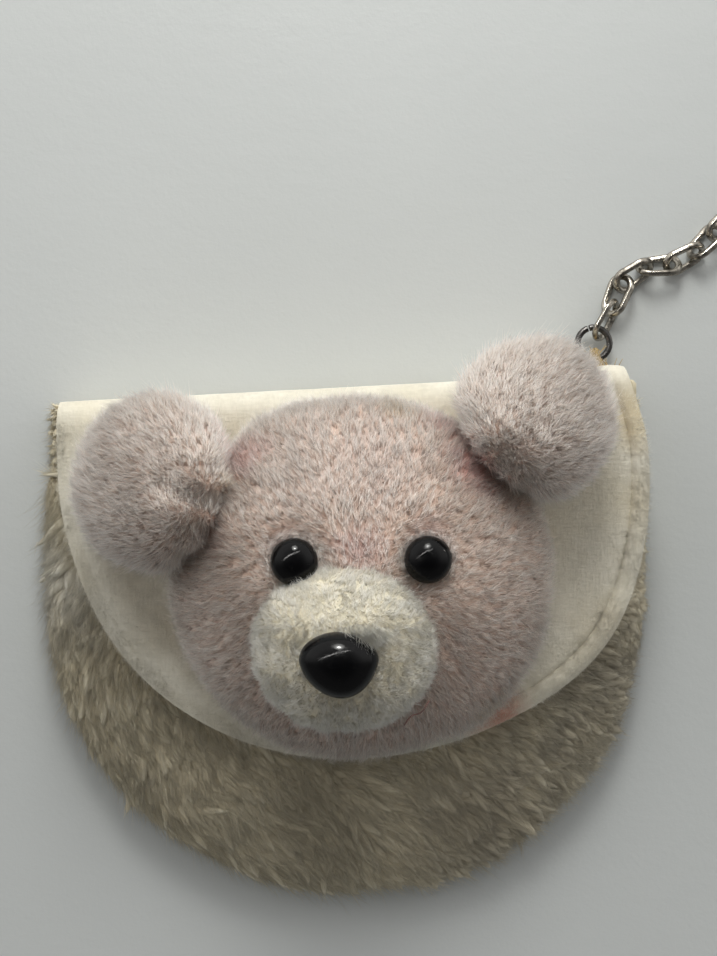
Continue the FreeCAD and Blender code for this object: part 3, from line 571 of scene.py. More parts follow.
def metal_paint(name, bright, dark, rough=(0.18, 0.42)):
    """Worn plating: scuffs in the gloss, and dark in the worn places."""
    p = Paint(name, Metallic=1.0)
    cloud = p.noise(700.0, 5.0, 0.6)
    p.link(p.ramp(cloud, 0.35, 0.7, *rough), p.shader.inputs["Roughness"])
    p.bumps(p.noise(1820.0), 0.25, 0.05)
    return p.colour(p.mix(p.ramp(cloud, 0.42, 0.72), bright, dark))


def plastic_paint(name, base, rough=0.06):
    """Moulded plastic with faint dust and fine scratches."""
    p = Paint(name, IOR=1.45, Specular_IOR_Level=0.2)
    dust = p.noise(900.0, 6.0, 0.7)
    p.link(p.ramp(dust, 0.4, 0.7, rough, rough + 0.22), p.shader.inputs["Roughness"])
    p.bumps(p.noise(700.0, 5.0, 0.7), 0.12, 0.08)
    return p.colour(p.mix(p.ramp(dust, 0.55, 0.85, 0.0, 0.06), base, (0.07, 0.068, 0.065)))


# Each patch is a centre and a radius in millimetres, a colour and a strength; most are real stains, and the
# ones marked below are painted shade and painted light
YELLOW, PINK, RUST = (0.66, 0.48, 0.2), (0.76, 0.38, 0.34), (0.58, 0.34, 0.15)
LEFT_JOIN, RIGHT_JOIN = (-15.4, 29.5, 23), (18.5, 27.5, 23)
HEAD_STAINS_AND_SHADE = (
    ((7.5, 34.5, 20), 4.0, YELLOW, 0.55),
    ((2.3, 15.5, 30), 5.5, (0.56, 0.32, 0.3), 0.55),
    ((-8, 15.5, 29), 4.5, (0.52, 0.3, 0.29), 0.4),
    ((12, 16.5, 29), 5.0, (0.52, 0.3, 0.29), 0.4),
    ((21, -8, 20), 4.0, YELLOW, 0.4),
    ((-8.5, 26, 26), 12.0, (0.78, 0.68, 0.62), 0.4),
    # A darker patch over the forehead: painted shade that tones down the light on the top of the head.
    ((4.0, 27.5, 27), 11.0, (0.7, 0.57, 0.52), 0.4),
    (LEFT_JOIN, 6.0, PINK, 0.7),
    # A darker reddish-brown patch where the left ear's lower edge meets the head: partly a reddish tint,
    # partly painted shade in the seam.
    ((-19.5, 17.5, 24), 5.0, (0.5, 0.3, 0.24), 0.6),
    (RIGHT_JOIN, 7.0, PINK, 0.75),
    ((14, 33.5, 20), 5.0, PINK, 0.5),
)
EAR_STAINS_AND_SHADE = (
    (LEFT_JOIN, 6.0, PINK, 0.7),
    ((-15.6, 25.0, 26), 3.6, (0.74, 0.56, 0.26), 0.7),
    # A darker reddish-brown patch where the left ear's lower edge meets the head: partly a reddish tint,
    # partly painted shade in the seam.
    ((-19.5, 17.5, 24), 5.0, (0.5, 0.3, 0.24), 0.6),
    (RIGHT_JOIN, 7.0, PINK, 0.75),
    ((19.5, 33.5, 24), 3.6, RUST, 0.6),
    ((25, 29.5, 30), 4.0, (0.62, 0.4, 0.3), 0.3),
)
FLAP_STAINS = (
    ((22.5, -9.5, 13), 6.5, (0.7, 0.33, 0.24), 0.85),
    ((42.5, 34.5, 12), 7.0, (0.66, 0.52, 0.28), 0.6),
    ((43.5, 22.0, 12), 6.0, (0.68, 0.58, 0.38), 0.35),
    ((30, 38, 12), 9.0, (0.72, 0.62, 0.4), 0.35),
    ((-36, 36, 12), 8.0, (0.74, 0.66, 0.48), 0.3),
    ((38, 4.0, 12), 8.0, (0.68, 0.58, 0.4), 0.3),
)
SHERPA_SHADE_AND_LIGHT = (
    # Three darker patches, over the pouch's right side, its lower right and its lower middle: painted shade
    # where the flap and the head shadow the pile.
    ((38, -6, 5), 24.0, (0.4, 0.36, 0.28), 0.9),
    ((22, -26, 6), 18.0, (0.44, 0.39, 0.3), 0.7),
    ((-2, -25, 8), 14.0, (0.46, 0.41, 0.3), 0.6),
    # A pale patch on the pouch's left side: painted light.
    ((-44, 8, 5), 14.0, (0.97, 0.95, 0.88), 0.6),
)

sherpa = pile_paint("sherpa_pile", (0.66, 0.57, 0.4), (0.8, 0.72, 0.54), (0.89, 0.83, 0.66), SHERPA_SHADE_AND_LIGHT,
                    0.3, shades=(0.78, 1.14))
mauve = pile_paint("mauve_plush", (0.66, 0.49, 0.4), (0.87, 0.69, 0.57), (1.0, 0.9, 0.79), HEAD_STAINS_AND_SHADE, 0.25,
                   0.42, 0.6, (0.66, 1.3), 0.6)
ear_mauve = pile_paint("ear_plush", (0.68, 0.51, 0.42), (0.87, 0.7, 0.58), (1.0, 0.9, 0.8), EAR_STAINS_AND_SHADE, 0.25,
                       0.42, 0.6, (0.7, 1.28), 0.6)
cream = pile_paint("cream_plush", (0.86, 0.79, 0.61), (0.93, 0.87, 0.7), (0.97, 0.94, 0.8), (), 0.2, 0.5, 0.5,
                   (0.92, 1.05), 0.7)
cotton_nap = pile_paint("cotton_nap", (0.8, 0.75, 0.62), (0.88, 0.84, 0.72), (0.92, 0.89, 0.79), patch=0.1,
                        shades=(0.92, 1.05))
sherpa_skin = skin_paint("sherpa_backing", (0.66, 0.58, 0.41), (0.76, 0.68, 0.5))
mauve_skin = skin_paint("mauve_backing", (0.7, 0.52, 0.43), (0.78, 0.6, 0.5), stains_and_shade=HEAD_STAINS_AND_SHADE)
cream_skin = skin_paint("cream_backing", (0.84, 0.77, 0.6), (0.9, 0.84, 0.67))
cotton = cotton_paint("flap_cotton", (0.79, 0.74, 0.6), (0.89, 0.85, 0.73), FLAP_STAINS)
lining = cotton_paint("lining_cotton", (0.7, 0.66, 0.56), (0.8, 0.77, 0.68), weave=3200.0)
thread = cotton_paint("cream_thread", (0.7, 0.64, 0.5), (0.84, 0.79, 0.66), weave=5200.0)
red_thread = cotton_paint("red_thread", (0.26, 0.13, 0.11), (0.34, 0.19, 0.16), weave=5200.0)
yarn = pile_paint("loop_yarn", (0.5, 0.36, 0.16), (0.68, 0.52, 0.27), (0.8, 0.68, 0.42), patch=0.3)
black = plastic_paint("black_plastic", (0.0025, 0.0025, 0.003))
washer = plastic_paint("washer_plastic", (0.55, 0.55, 0.53), 0.35)
snap_metal = metal_paint("snap_metal", (0.7, 0.69, 0.66), (0.35, 0.33, 0.3))
nickel = metal_paint("worn_nickel", (0.4, 0.37, 0.32), (0.06, 0.055, 0.046), (0.18, 0.4))
gunmetal = metal_paint("dark_metal", (0.11, 0.105, 0.1), (0.035, 0.034, 0.033), (0.2, 0.45))
steel = metal_paint("ring_steel", (0.66, 0.65, 0.63), (0.42, 0.41, 0.4), (0.12, 0.3))


# ---- pouch ----


def d_point(s, radius, x, arc_y, top):
    """A place on a D outline, s along it: down the left side, round the arc, up the right and back."""
    side, arc = top - arc_y, math.pi * radius
    if s < side:
        return x - radius, top - s
    if s < side + arc:
        a = math.pi + (s - side) / radius
        return x + radius * math.cos(a), arc_y + radius * math.sin(a)
    if s < 2 * side + arc:
        return x + radius, arc_y + s - side - arc
    return x + radius - (s - 2 * side - arc), top


def d_outline(radius, x, arc_y, top, per_mm=1.0):
    """A D outline as evenly spread points."""
    total = 2 * (top - arc_y) + math.pi * radius + 2 * radius
    return np.array([d_point(s, radius, x, arc_y, top) for s in np.arange(0, total, per_mm)])


def nested(outline, hub, insets, inner):
    """Rings inside an outline: some at fixed insets from the edge, the rest evenly to the hub."""
    ahead = unit(np.roll(outline, -1, 0) - np.roll(outline, 1, 0))
    inward = np.stack([-ahead[:, 1], ahead[:, 0]], 1)
    to_hub = np.asarray(hub) - outline
    depth = (to_hub * inward).sum(1)
    shares = [np.clip(i / depth, 0, 0.9) for i in insets]
    shares += [shares[-1] + (1 - shares[-1]) * k / inner for k in range(1, inner)]
    return np.stack([outline + to_hub * share[:, None] for share in shares])


def side_distance(x, y, radius, middle_x, arc_y):
    """Distance inwards from a D's sides and arc."""
    x = x - middle_x
    return np.where(y < arc_y, radius - np.hypot(x, y - arc_y), radius - np.abs(x))


SEAM_Z, FRONT_RISE, SHOULDER = 3.3, 4.9, 13.0
BACK_Z, BACK_RISE, BACK_EDGE = 1.35, 1.5, 5.0


def front_height(x, y):
    """The front cloth's middle: it rises steeply from the seam, then swells gently."""
    d = side_distance(x, y, POUCH_R, 0, POUCH_Y)
    t = np.clip(d / SHOULDER, 0, 1)
    rise = FRONT_RISE * (1 - (1 - t) ** 2.4) ** 0.55
    lumps = level_noise(x, y, 13.0, 3) * 0.35 * t
    return SEAM_Z + rise + lumps + 0.5 * smooth_step(-y, 12, 24) * t


def back_height(x, y):
    d = side_distance(x, y, POUCH_R, 0, POUCH_Y)
    return BACK_Z + BACK_RISE * (1 - np.clip(d / BACK_EDGE, 0, 1)) ** 2


def tilted(y, x):
    """The purse's top edge runs a little uphill towards the chain."""
    return y + TILT * x * smooth_step(y, 12, 36)


def cloth(name, radius, top, hub, height, thick, inner, material):
    """A closed cloth over the pouch's D, lifted by a height formula, with close rings at its curved edge."""
    edge_rings = (0, 0.4, 0.9, 1.5, 2.2, 3.0, 4.0, 5.2)
    flat = nested(d_outline(radius, 0, POUCH_Y, top), hub, edge_rings, inner)
    z = height(flat[..., 0], flat[..., 1])
    flat[..., 1] = tilted(flat[..., 1], flat[..., 0])
    hub_z = float(height(np.array([hub[0]]), np.array([hub[1]]))[0])
    points, faces = wheel(np.concatenate([flat, z[..., None]], -1), (*hub, hub_z))
    return thicken(mesh(name, points, faces, material), thick)


LINING_GAP, LINING_THICK = 1.15, 0.35
front = cloth("pouch_front_cloth", POUCH_R, MOUTH_Y + 0.3, (0, 2), front_height, 1.4, 30, sherpa_skin)
back = cloth("pouch_back_cloth", POUCH_R, FOLD_Y, (0, 6), back_height, 1.5, 26, sherpa_skin)
inner_front = cloth("pouch_front_lining", LINING_R, MOUTH_Y, (0, 2),
                    lambda x, y: front_height(x, y) - LINING_GAP, LINING_THICK, 26, lining)
inner_back = cloth("pouch_back_lining", LINING_R, LINING_TOP, (0, 6),
                   lambda x, y: back_height(x, y) + LINING_GAP, LINING_THICK, 26, lining)

# Binding folded over the mouth's edge
x = np.linspace(-41.5, 41.5, 150)
edge_z = front_height(x, np.full_like(x, MOUTH_Y))
path = np.stack([x, np.full_like(x, MOUTH_Y + 0.7) + 0.12 * np.sin(x * 0.9), edge_z], 1)
swell = 1 + 0.05 * noise(path, 2.3, 5)[:, None, None]
points, faces = tube(path, (circle(1, 20) * (1.6, 1.25))[None] * swell)
binding = mesh("mouth_binding_strip", points, faces, cotton)
binding_parts = []
for x0 in np.arange(-40, 40.1, 2.3):
    z0 = float(front_height(np.array([x0]), np.array([MOUTH_Y]))[0])
    s = np.linspace(-0.85, 0.85, 7)
    stitch = np.stack([x0 + s, np.full(7, MOUTH_Y - 0.25), z0 + 1.13 - 0.25 * np.abs(s) ** 2], 1)
    binding_parts.append(tube(stitch, circle(0.16, 6)))
binding_stitches = mesh("binding_stitches", *joined(binding_parts), thread)

# Whipped thread in the groove between the two panels
ring = d_outline(POUCH_R + 0.35, 0, POUCH_Y, MOUTH_Y, 0.5)
ring = ring[(ring[:, 1] < MOUTH_Y - 1.5)]
path = np.column_stack([ring, 3.0 + 0.35 * np.sin(np.arange(len(ring)) * 1.2)])
points, faces = tube(path, circle(0.22, 8))
seam = mesh("pouch_seam_thread_whipped", points, faces, thread)


def outward(points, middle):
    way = points - np.asarray(middle, float)
    way[:, 2] = 0
    return unit(way)


def pouch_lean(roots):
    """The pile is combed outwards and round the pouch, one way."""
    away = outward(roots, (0, 14, 0))
    round_about = np.stack([-away[:, 1], away[:, 0], 0 * away[:, 0]], 1)
    right = smooth_step(roots[:, :1], -25, 35)
    return away * (0.4 + 0.45 * right) + round_about * (0.9 - 0.7 * right) + 0.45 * wander(roots, 6.0, 21)


def under_flap(points):
    """How far inside the flap's outline a point is."""
    return side_distance(points[:, 0], points[:, 1], FLAP_R, FLAP_X, FLAP_Y)


def shorter_right(roots):
    """The pile is worn short along the pouch's right side."""
    return 1 - 0.5 * smooth_step(roots[:, 0], 30, 44) * smooth_step(roots[:, 1], -20, 0)


def wool(name, skin, count, keep, long, wide, per, up, thick=0.5, **how):
    """Curly pile: a soft lock on every root, hairs lying over it and, in thick pile, loose hairs between."""
    roots, normals = surface_points(skin, count, keep)
    lengths = long * (0.9 + 0.22 * noise(roots, 6.0, 31)) * (1 - 0.5 * smooth_step(roots[:, 1], 18, 27))
    lengths = lengths * shorter_right(roots)
    if callable(up):
        up = up(roots)
    tufts = Tufts(roots, normals, pouch_lean(roots), lengths, up, wide=wide, curl=0.3, **how)
    groups = [locks(tufts, thick), hairs(tufts, per, 0, 0.085, stray=0.11, thick=thick)]
    if per > 4:
        roots, normals = surface_points(skin, round(count * 1.6), keep)
        tufts = Tufts(roots, normals, pouch_lean(roots), long * 0.8 * shorter_right(roots), 0.14, **how)
        groups.append(hairs(tufts, 10, 0.8, 0.075, gather=0.35, stray=0.2))
    pile(name, groups, sherpa, skin)


def front_keep(region):
    def keep(p, n):
        outer = (n[:, 2] > -0.1) & (p[:, 2] > front_height(p[:, 0], p[:, 1]) - 0.2)
        return outer * (p[:, 1] < MOUTH_Y - 0.4) * region(p)
    return keep


OPEN = {"long": 4.6, "wide": 1.8, "per": 22, "up": -0.1, "thick": 0.4, "swing": 0.25, "floor": 0.15}
for part, west, east in (("far_left", -60, -24), ("left", -24, 0), ("right", 0, 24), ("far_right", 24, 60)):
    def open_part(p, west=west, east=east):
        return (under_flap(p) < 1.0) & (p[:, 0] >= west) & (p[:, 0] < east)
    wool(f"pouch_pile_{part}", front, 820, front_keep(open_part), **OPEN)


def covered_part(p):
    """Under the flap, but not under the press stud."""
    return (under_flap(p) >= 1.0) & (np.hypot(p[:, 0] - 2, p[:, 1] + 8) > 5.0)


def back_rim(p, n):
    d = side_distance(p[:, 0], p[:, 1], POUCH_R, 0, POUCH_Y)
    shoulder = smooth_step(p[:, 1], 22, 26)
    return (d < 2.2) * (n[:, 2] < 0.9) * (p[:, 1] < FOLD_Y - 1.0) * (1 + 1.5 * shoulder)


def rim_up(roots):
    """The pile stands higher at the shoulders, where the front panel doesn't reach."""
    return 0.15 + 0.3 * smooth_step(roots[:, 1], 23, 27)


def back_under(p, n):
    return (n[:, 2] < -0.5) & (p[:, 1] < FOLD_Y - 2.5)


wool("pouch_pile_under_flap", front, 1300, front_keep(covered_part), 2.8, 1.7, 4, -0.05)
wool("pouch_pile_rim", back, 800, back_rim, 2.3, 0.9, 16, rim_up, swing=0.25, floor=0.15)
wool("pouch_pile_back", back, 1500, back_under, 2.8, 1.7, 2, 0.02, floor=0.15)


# ---- flap ----

ARC_FROM = FOLD_Y - FOLD_R
ARC_LONG = FOLD_R * math.pi / 2
STRIP_LONG = 7.6
FLAT_TOP = ARC_FROM + ARC_LONG + STRIP_LONG
STITCH_IN, STITCH_PITCH = 2.0, 2.43


# Where the flap's edge bulges outwards: the angle below the right, how far, and how narrowly
FLAP_BULGES = ((2.3, 1.1, 4), (0.62, 1.7, 6), (0.69, 1.3, 24))


def flap_shape(flat):
    """Bends the flap's flat pattern over the fold and down to the back panel's top edge.

    Its hem is taut on the right and rolls up on the left."""
    x, s = flat[..., 0], flat[..., 1]
    turn = np.clip((s - ARC_FROM) / FOLD_R, 0, math.pi / 2)
    down = np.maximum(s - ARC_FROM - ARC_LONG, 0)
    y = np.minimum(s, ARC_FROM) + FOLD_R * np.sin(turn)
    z = FLAP_MID - FOLD_R * (1 - np.cos(turn)) - down
    d = side_distance(x, np.minimum(s, ARC_FROM), FLAP_R, FLAP_X, FLAP_Y)
    level = 1 - smooth_step(s, ARC_FROM - 2, ARC_FROM + ARC_LONG)
    around = np.where(s < FLAP_Y, np.arctan2(s - FLAP_Y, x - FLAP_X) * FLAP_R, np.sign(x) * (s + 80))

    # The rolled edge on the left; then the hem, the groove of its stitches and the puckers between them
    taut = 0.15 + 0.85 * smooth_step(x, -12, 16)
    roll = (1 - taut) * (1.5 * hill(d, 3.4, 2.8) - 0.7 * hill(d, 10.0, 3.0))
    hem = 0.5 * np.sin(math.pi * np.clip(d / 2.1, 0, 1)) - 0.45 * hill(d, 2.05, 0.36)
    pucker = 0.16 * np.cos(2 * math.pi * around / STITCH_PITCH) * hill(d, 1.9, 0.8)
    droop = -0.8 * (1 - np.clip(d / 11.0, 0, 1)) ** 2
    waves = level_noise(x, s, 11.0, 41) * 0.24 + level_noise(x, s, 4.0, 42) * 0.07
    sway = 0.35 * level_noise(x, s, 15.0, 43)
    z = z + level * (taut * (hem + pucker) + roll + droop) + waves * (0.35 + 0.65 * level)

    # The chain tugs at the right corner, and the edge bulges in places
    tug = hill(x, 41.5, 4.0) * hill(s, 39.5, 4.0)
    ahead = y - FLAP_Y
    angle = np.arctan2(ahead, x - FLAP_X)
    push = sum(far * np.maximum(np.cos(angle + at), 0) ** sharp for at, far, sharp in FLAP_BULGES)
    push = push * np.hypot(ahead, x - FLAP_X) / FLAP_R
    x, y = x + push * np.cos(angle), y + push * np.sin(angle)
    x = x - 2.2 * smooth_step(s, 28, 41) * smooth_step(x, 18, 42)
    y = y + TILT * (x - FLAP_X) + 1.2 * tug + 0.25 * waves
    return np.stack([x - TILT * ahead + sway, y, z + 0.5 * tug], -1)


HEM_RINGS = (0, 0.2, 0.45, 0.75, 1.1, 1.4, 1.7, 2.0, 2.3, 2.6, 3.0, 3.6, 4.4, 5.4)
hub = np.array([FLAP_X, 16.0])
flat = nested(d_outline(FLAP_R, FLAP_X, FLAP_Y, FLAT_TOP, 0.8), hub, HEM_RINGS, 42)
points, faces = wheel(flap_shape(flat), flap_shape(hub[None])[0])
flap = thicken(mesh("flap_sheet", points, faces, cotton), 1.5)

# Topstitch, each stitch lying in its groove
stitches = []
radius = FLAP_R - STITCH_IN
total = 2 * (ARC_FROM - FLAP_Y) + math.pi * radius
count = int(total / STITCH_PITCH)
for k in range(count):
    along = (k + 0.5) * total / count + np.linspace(-0.92, 0.92, 9)
    path = flap_shape(np.array([d_point(s, radius, FLAP_X, FLAP_Y, ARC_FROM) for s in along]))
    sunk = 0.35 * (1 - smooth_step(path[:, 0], -12, 16))
    path[:, 2] += 0.8 - sunk - 0.4 * np.abs(np.linspace(-1, 1, 9)) ** 3
    stitches.append(tube(path, circle(0.17, 7)))
topstitch = mesh("flap_topstitch_thread", *joined(stitches), thread)

# The brushed nap of the cotton, where the head doesn't cover it


def nap_keep(p, n):
    covered = inside(p * (1, 1, 0), HEAD * (1, 1, 0), HEAD_HALF * (0.92, 0.92, 1))
    edge = smooth_step(-under_flap(p), -1.2, 0.2)
    return (n[:, 2] > -0.2) * (p[:, 1] + TILT * (FLAP_X - p[:, 0]) < ARC_FROM) * ~covered * (1 + 2.5 * edge)


roots, normals = surface_points(flap, NAP_HAIRS, nap_keep)
tufts = Tufts(roots, normals, wander(roots, 4.0, 51), 0.62, 0.4, 0.8)
nap = pile("flap_nap", [hairs(tufts, 1, 0.05, 0.06)], cotton_nap, None)


# ---- head, muzzle and ears ----


def blob(name, centre, half, low, material, warp, rows, cols):
    """A closed rounded form, cut flat at a height, its surface moved by warp."""
    last = math.acos(max(-1.0, (low - centre[2]) / half[2]))
    a = np.linspace(0, last, rows + 1)[1:, None, None]
    way = np.concatenate([np.sin(a) * circle(1.0, cols), np.broadcast_to(np.cos(a), (rows, cols, 1))], -1)
    way = way.reshape(-1, 3)
    points = warp(centre + way * half, way)
    edge = points[-cols:]
    middle = centre * (1, 1, 0) + (0, 0, edge[:, 2].mean())
    base = [middle + (edge - middle) * share for share in (0.93, 0.8, 0.6, 0.35)]
    top = warp((centre + (0, 0, half[2]))[None], np.array([[0.0, 0, 1]]))
    points = np.concatenate([points, *base, top, base[-1].mean(0)[None]])
    return mesh(name, points, capped(rows + len(base), cols), material)


def head_warp(points, way):
    """A wide jaw on both sides, eye hollows, a sunk bridge and stuffing lumps."""
    turn = np.arctan2(way[:, 1], way[:, 0])
    side = np.sin(np.arccos(np.clip(way[:, 2], -1, 1)))
    jaw = 0.045 * np.maximum(np.cos(turn + 0.75), 0) ** 2 + 0.04 * np.maximum(np.cos(turn + 2.3), 0) ** 4
    crown = 0.012 * np.maximum(np.sin(turn), 0) ** 2
    grown = HEAD + (points - HEAD) * (1 + (jaw + crown) * side + 0.018 * noise(points, 9.0, 61))[:, None]
    hollows = [(1.3, eye, (4.4, 4.0, 6)) for eye in EYES.values()]
    hollows += [(0.9, (2.3, 20.0, 30.0), (3.4, 9.0, 7)), (1.5, MUZZLE + (0, 3, 4), (12.5, 11.5, 12))]
    for deep, place, size in hollows:
        grown[:, 2] -= deep * bump(points, place, size)
    return grown


def muzzle_warp(points, way):
    """Fuller towards the bridge, with a seat for the nose and a fold below it."""
    full = 0.07 * np.maximum(way[:, 1], 0)
    grown = MUZZLE + (points - MUZZLE) * (1 + full + 0.025 * noise(points, 6.0, 62))[:, None]
    grown[:, 2] -= 1.2 * bump(points, NOSE, (6.0, 5.4, 4))
    grown[:, 2] -= 0.5 * bump(points, (-0.7, -7.5, 33.0), (1.3, 4.2, 6))
    return grown


head = blob("head_skin", HEAD, HEAD_HALF, 14.3, mauve_skin, head_warp, 60, 140)
muzzle = blob("muzzle_skin", MUZZLE, MUZZLE_HALF, 19.5, cream_skin, muzzle_warp, 44, 110)


def head_keep(p, n):
    free = ~inside(p, MUZZLE, MUZZLE_HALF * 0.97) & (n[:, 2] > -0.75)
    for eye in EYES.values():
        free &= np.hypot(p[:, 0] - eye[0], p[:, 1] - eye[1]) > EYE_R - 0.55
    for side, ear in EARS.items():
        free &= ~inside(p, ear, EAR_HALVES[side] * 0.95)
    return free * (1 + 0.5 * (n[:, 2] < 0.5))


def head_lean(roots):
    """Nap that runs from the bridge up over the brow, out over the cheeks and down the jaw."""
    lean = outward(roots, (1.8, 9.0, 0)) * (1, 1.1, 1) + 0.4 * wander(roots, 5.0, 71)
    for eye in EYES.values():
        near = bump(roots, eye + (0, 1.6, 0), (3.6, 3.0, 6))[:, None]
        lean = lean - 1.9 * near * outward(roots, eye)
    return lean


for half_name, side in (("left", -1), ("right", 1)):
    def half_keep(p, n, side=side):
        return head_keep(p, n) * (((p[:, 0] - HEAD[0]) * side) > 0)

    roots, normals = surface_points(head, HEAD_TUFTS, half_keep)
    near_eye = np.clip(sum(bump(roots, eye, (4.4, 4.4, 8)) for eye in EYES.values()), 0, 1)
    lengths = 2.0 * (1 - 0.3 * near_eye) * (0.95 + 0.2 * noise(roots, 4.0, 73))
    tufts = Tufts(roots, normals, head_lean(roots), lengths, 0.34 + 0.2 * near_eye, 0.25)
    groups = [hairs(tufts, 8, 0.42, 0.085, gather=0.35, stray=0.18)]
    eye = EYES[f"{half_name}_eye"]
    turn = rng.uniform(-0.9, math.pi + 0.9, LASHES)
    away = np.stack([np.cos(turn), np.sin(turn), 0 * turn], 1)
    roots = eye + away * rng.uniform(3.25, 3.8, LASHES)[:, None] - (0, 0, 0.7)
    lean = 0.5 * rng.normal(size=(LASHES, 3)) - away
    tufts = Tufts(roots, unit(away * 0.5 + UP), lean, 1.3, 0.62, 0.6)
    groups.append(hairs(tufts, 7, 0.3, 0.08, stray=0.2))
    pile(f"head_pile_{half_name}", groups, mauve, head)


def muzzle_keep(p, n):
    clear = np.hypot((p[:, 0] - NOSE[0]) / 5.0, (p[:, 1] - NOSE[1]) / 4.2) > 0.9
    return clear & (n[:, 2] > -0.6) & ~inside(p, HEAD, HEAD_HALF * 0.93)


roots, normals = surface_points(muzzle, MUZZLE_TUFTS, muzzle_keep)
lean = 0.6 * outward(roots, NOSE) + 1.1 * wander(roots, 1.8, 81)
tufts = Tufts(roots, normals, lean, 0.95 + 0.25 * noise(roots, 1.8, 83), 0.55, 0.4)
groups = [hairs(tufts, 10, 0.42, 0.09, gather=0.25, stray=0.25)]

# Longer tufts that hang over the nose's upper right
roots, normals = surface_points(muzzle, FRINGE_TUFTS, lambda p, n: bump(p, NOSE_FRINGE, (3.4, 0.9, 4)) > 0.4)
tufts = Tufts(roots, normals, np.tile([0.25, -1.0, 0.0], (len(roots), 1)), 2.3, 0.66, 0.2)
groups.append(hairs(tufts, 12, 0.35, 0.1, 2, 0.6, 0.12))
pile("muzzle_pile", groups, cream, muzzle)

ear_skins = {}
for side, centre in EARS.items():
    def ear_warp(points, way, centre=centre):
        """Pulled in where it is sewn to the head, with a fold that runs in from there."""
        toward = unit(HEAD * (1, 1, 0) - centre * (1, 1, 0))
        pinch = smooth_step(way @ toward, 0.35, 1.0)
        seam = hill(way[:, 2], -0.15, 0.12)
        out = points - centre
        grown = out * (1 - 0.16 * pinch - 0.05 * seam + 0.03 * noise(points, 6.0, 63))[:, None]
        aside = out @ np.cross((0, 0, 1), toward)
        inward = smooth_step(out @ toward, -3.5, 8.0)
        fold = hill(aside, 0.6, 1.5) - 0.7 * hill(aside, -2.2, 1.5)
        grown[:, 2] -= (1.0 if centre[0] < 0 else 0.5) * fold * inward * (way[:, 2] > 0)
        creases = np.cos(np.arctan2(way[:, 1], way[:, 0]) * 13) * pinch * 0.35
        return centre + grown + way * creases[:, None]

    half = EAR_HALVES[side]
    skin = blob(f"{side}_ear_skin", centre, half, centre[2] - half[2] * 0.985, mauve_skin, ear_warp, 50, 100)
    ear_skins[side] = skin

    for part, count in EAR_TUFTS.items():
        def ear_keep(p, n, front=part == "front"):
            return ~inside(p, HEAD, HEAD_HALF * 0.99) & ((n[:, 2] > 0.05) == front)

        roots, normals = surface_points(skin, count, ear_keep)
        away = outward(roots, HEAD) + 0.55 * wander(roots, 4.0, 91)
        tufts = Tufts(roots, normals, away, 1.9 + 0.2 * noise(roots, 3.0, 93), 0.38, 0.3)
        groups = [hairs(tufts, 9, 0.44, 0.085, gather=0.35, stray=0.2)]
        pile(f"{side}_ear_pile_{part}", groups, ear_mauve, skin)



def dome(radius, base, high):
    """A dome's profile, from its top down to its rim."""
    return [(radius * math.sin(a), base + high * math.cos(a)) for a in np.linspace(0, 1.57, 20)]


# Below each dome are a thin rim and the shank
EYE = dome(3.3, 0.12, 2.45) + [(3.22, 0.0), (3.1, -0.15), (1.2, -0.2), (1.1, -0.4), (1.1, -4.0), (0.0, -4.0)]
eyes = {label: lathe(f"{label}_bead", EYE, centre, black, 72) for label, centre in EYES.items()}


def nose_outline(cols):
    """A rounded triangle for a radius of 1: a low arc above, and sides that run in to a blunt tip below."""
    turn = turns(cols)
    below = np.maximum(-np.sin(turn), 0)
    x = 1.14 * np.cos(turn) * (1 - 0.13 * below) + 0.08 * below**2
    y = np.where(below > 0, -1.08 * below, 0.82 * np.sin(turn))
    return np.stack([x, y], 1)


SNOUT = dome(4.7, -0.2, 3.6) + [(4.5, -0.6), (4.2, -0.9), (1.2, -0.95), (1.1, -1.1), (1.1, -5.0), (0.0, -5.0)]
snout = lathe("nose_bead", SNOUT, NOSE + (0, 0.6, 0), black, 96, nose_outline(96))

# Reddish thread end at the muzzle's lower right
s = np.linspace(0, 1, 26)
bends = 0.4 * np.stack([0 * s, np.sin(7 * s), np.sin(9 * s)], 1)
path = np.array([8.3, -8.9, 27.2]) + s[:, None] * (3.4, 3.3, 0.9) + bends
points, faces = tube(path, circle(0.11, 6))
loose = mesh("muzzle_loose_thread", points, faces, red_thread)


# ---- press stud ----



def node_box(name):
    """A CAD node's lowest and highest corner, in millimetres."""
    return np.array(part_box(name)) / MM


low, high = node_box("snap_stud")
spot = (low + high) / 2
STUD = [(0, 1.5), (0.8, 1.46), (1.25, 1.3), (1.45, 1.05), (1.35, 0.8), (1.2, 0.62), (1.9, 0.55), (3.4, 0.5),
        (4.0, 0.42), (4.4, 0.25), (4.42, 0.1), (4.3, 0.0), (0, 0.0)]
stud = lathe("snap_stud_turned", STUD, (spot[0], spot[1], low[2]), snap_metal, 64)
low, high = node_box("snap_socket")
deep = high[2] - low[2]
SOCKET = [(0, deep), (4.2, deep), (4.45, deep - 0.15), (4.45, 0.6), (4.1, 0.3), (3.0, 0.12), (2.2, 0.0),
          (1.95, 0.02), (1.85, 0.15), (1.85, deep - 0.15), (0, deep - 0.15)]
socket = lathe("snap_socket_turned", SOCKET, (spot[0], spot[1], low[2]), snap_metal, 64)


# ---- loop, rings and chain ----


def node_frame(name):
    """A CAD node's middle and its long, wide and thin directions."""
    co = read(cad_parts[name].data.vertices, "co") / MM
    middle = (co.min(0) + co.max(0)) / 2
    spread = np.linalg.eigh(np.cov((co - co.mean(0)).T))[1]
    thin = spread[:, 0] * (1 if spread[2, 0] > 0 else -1)
    long = spread[:, 2] * (1 if spread[0, 2] > 0 else -1)
    return middle, np.stack([long, np.cross(thin, long), thin], 1)


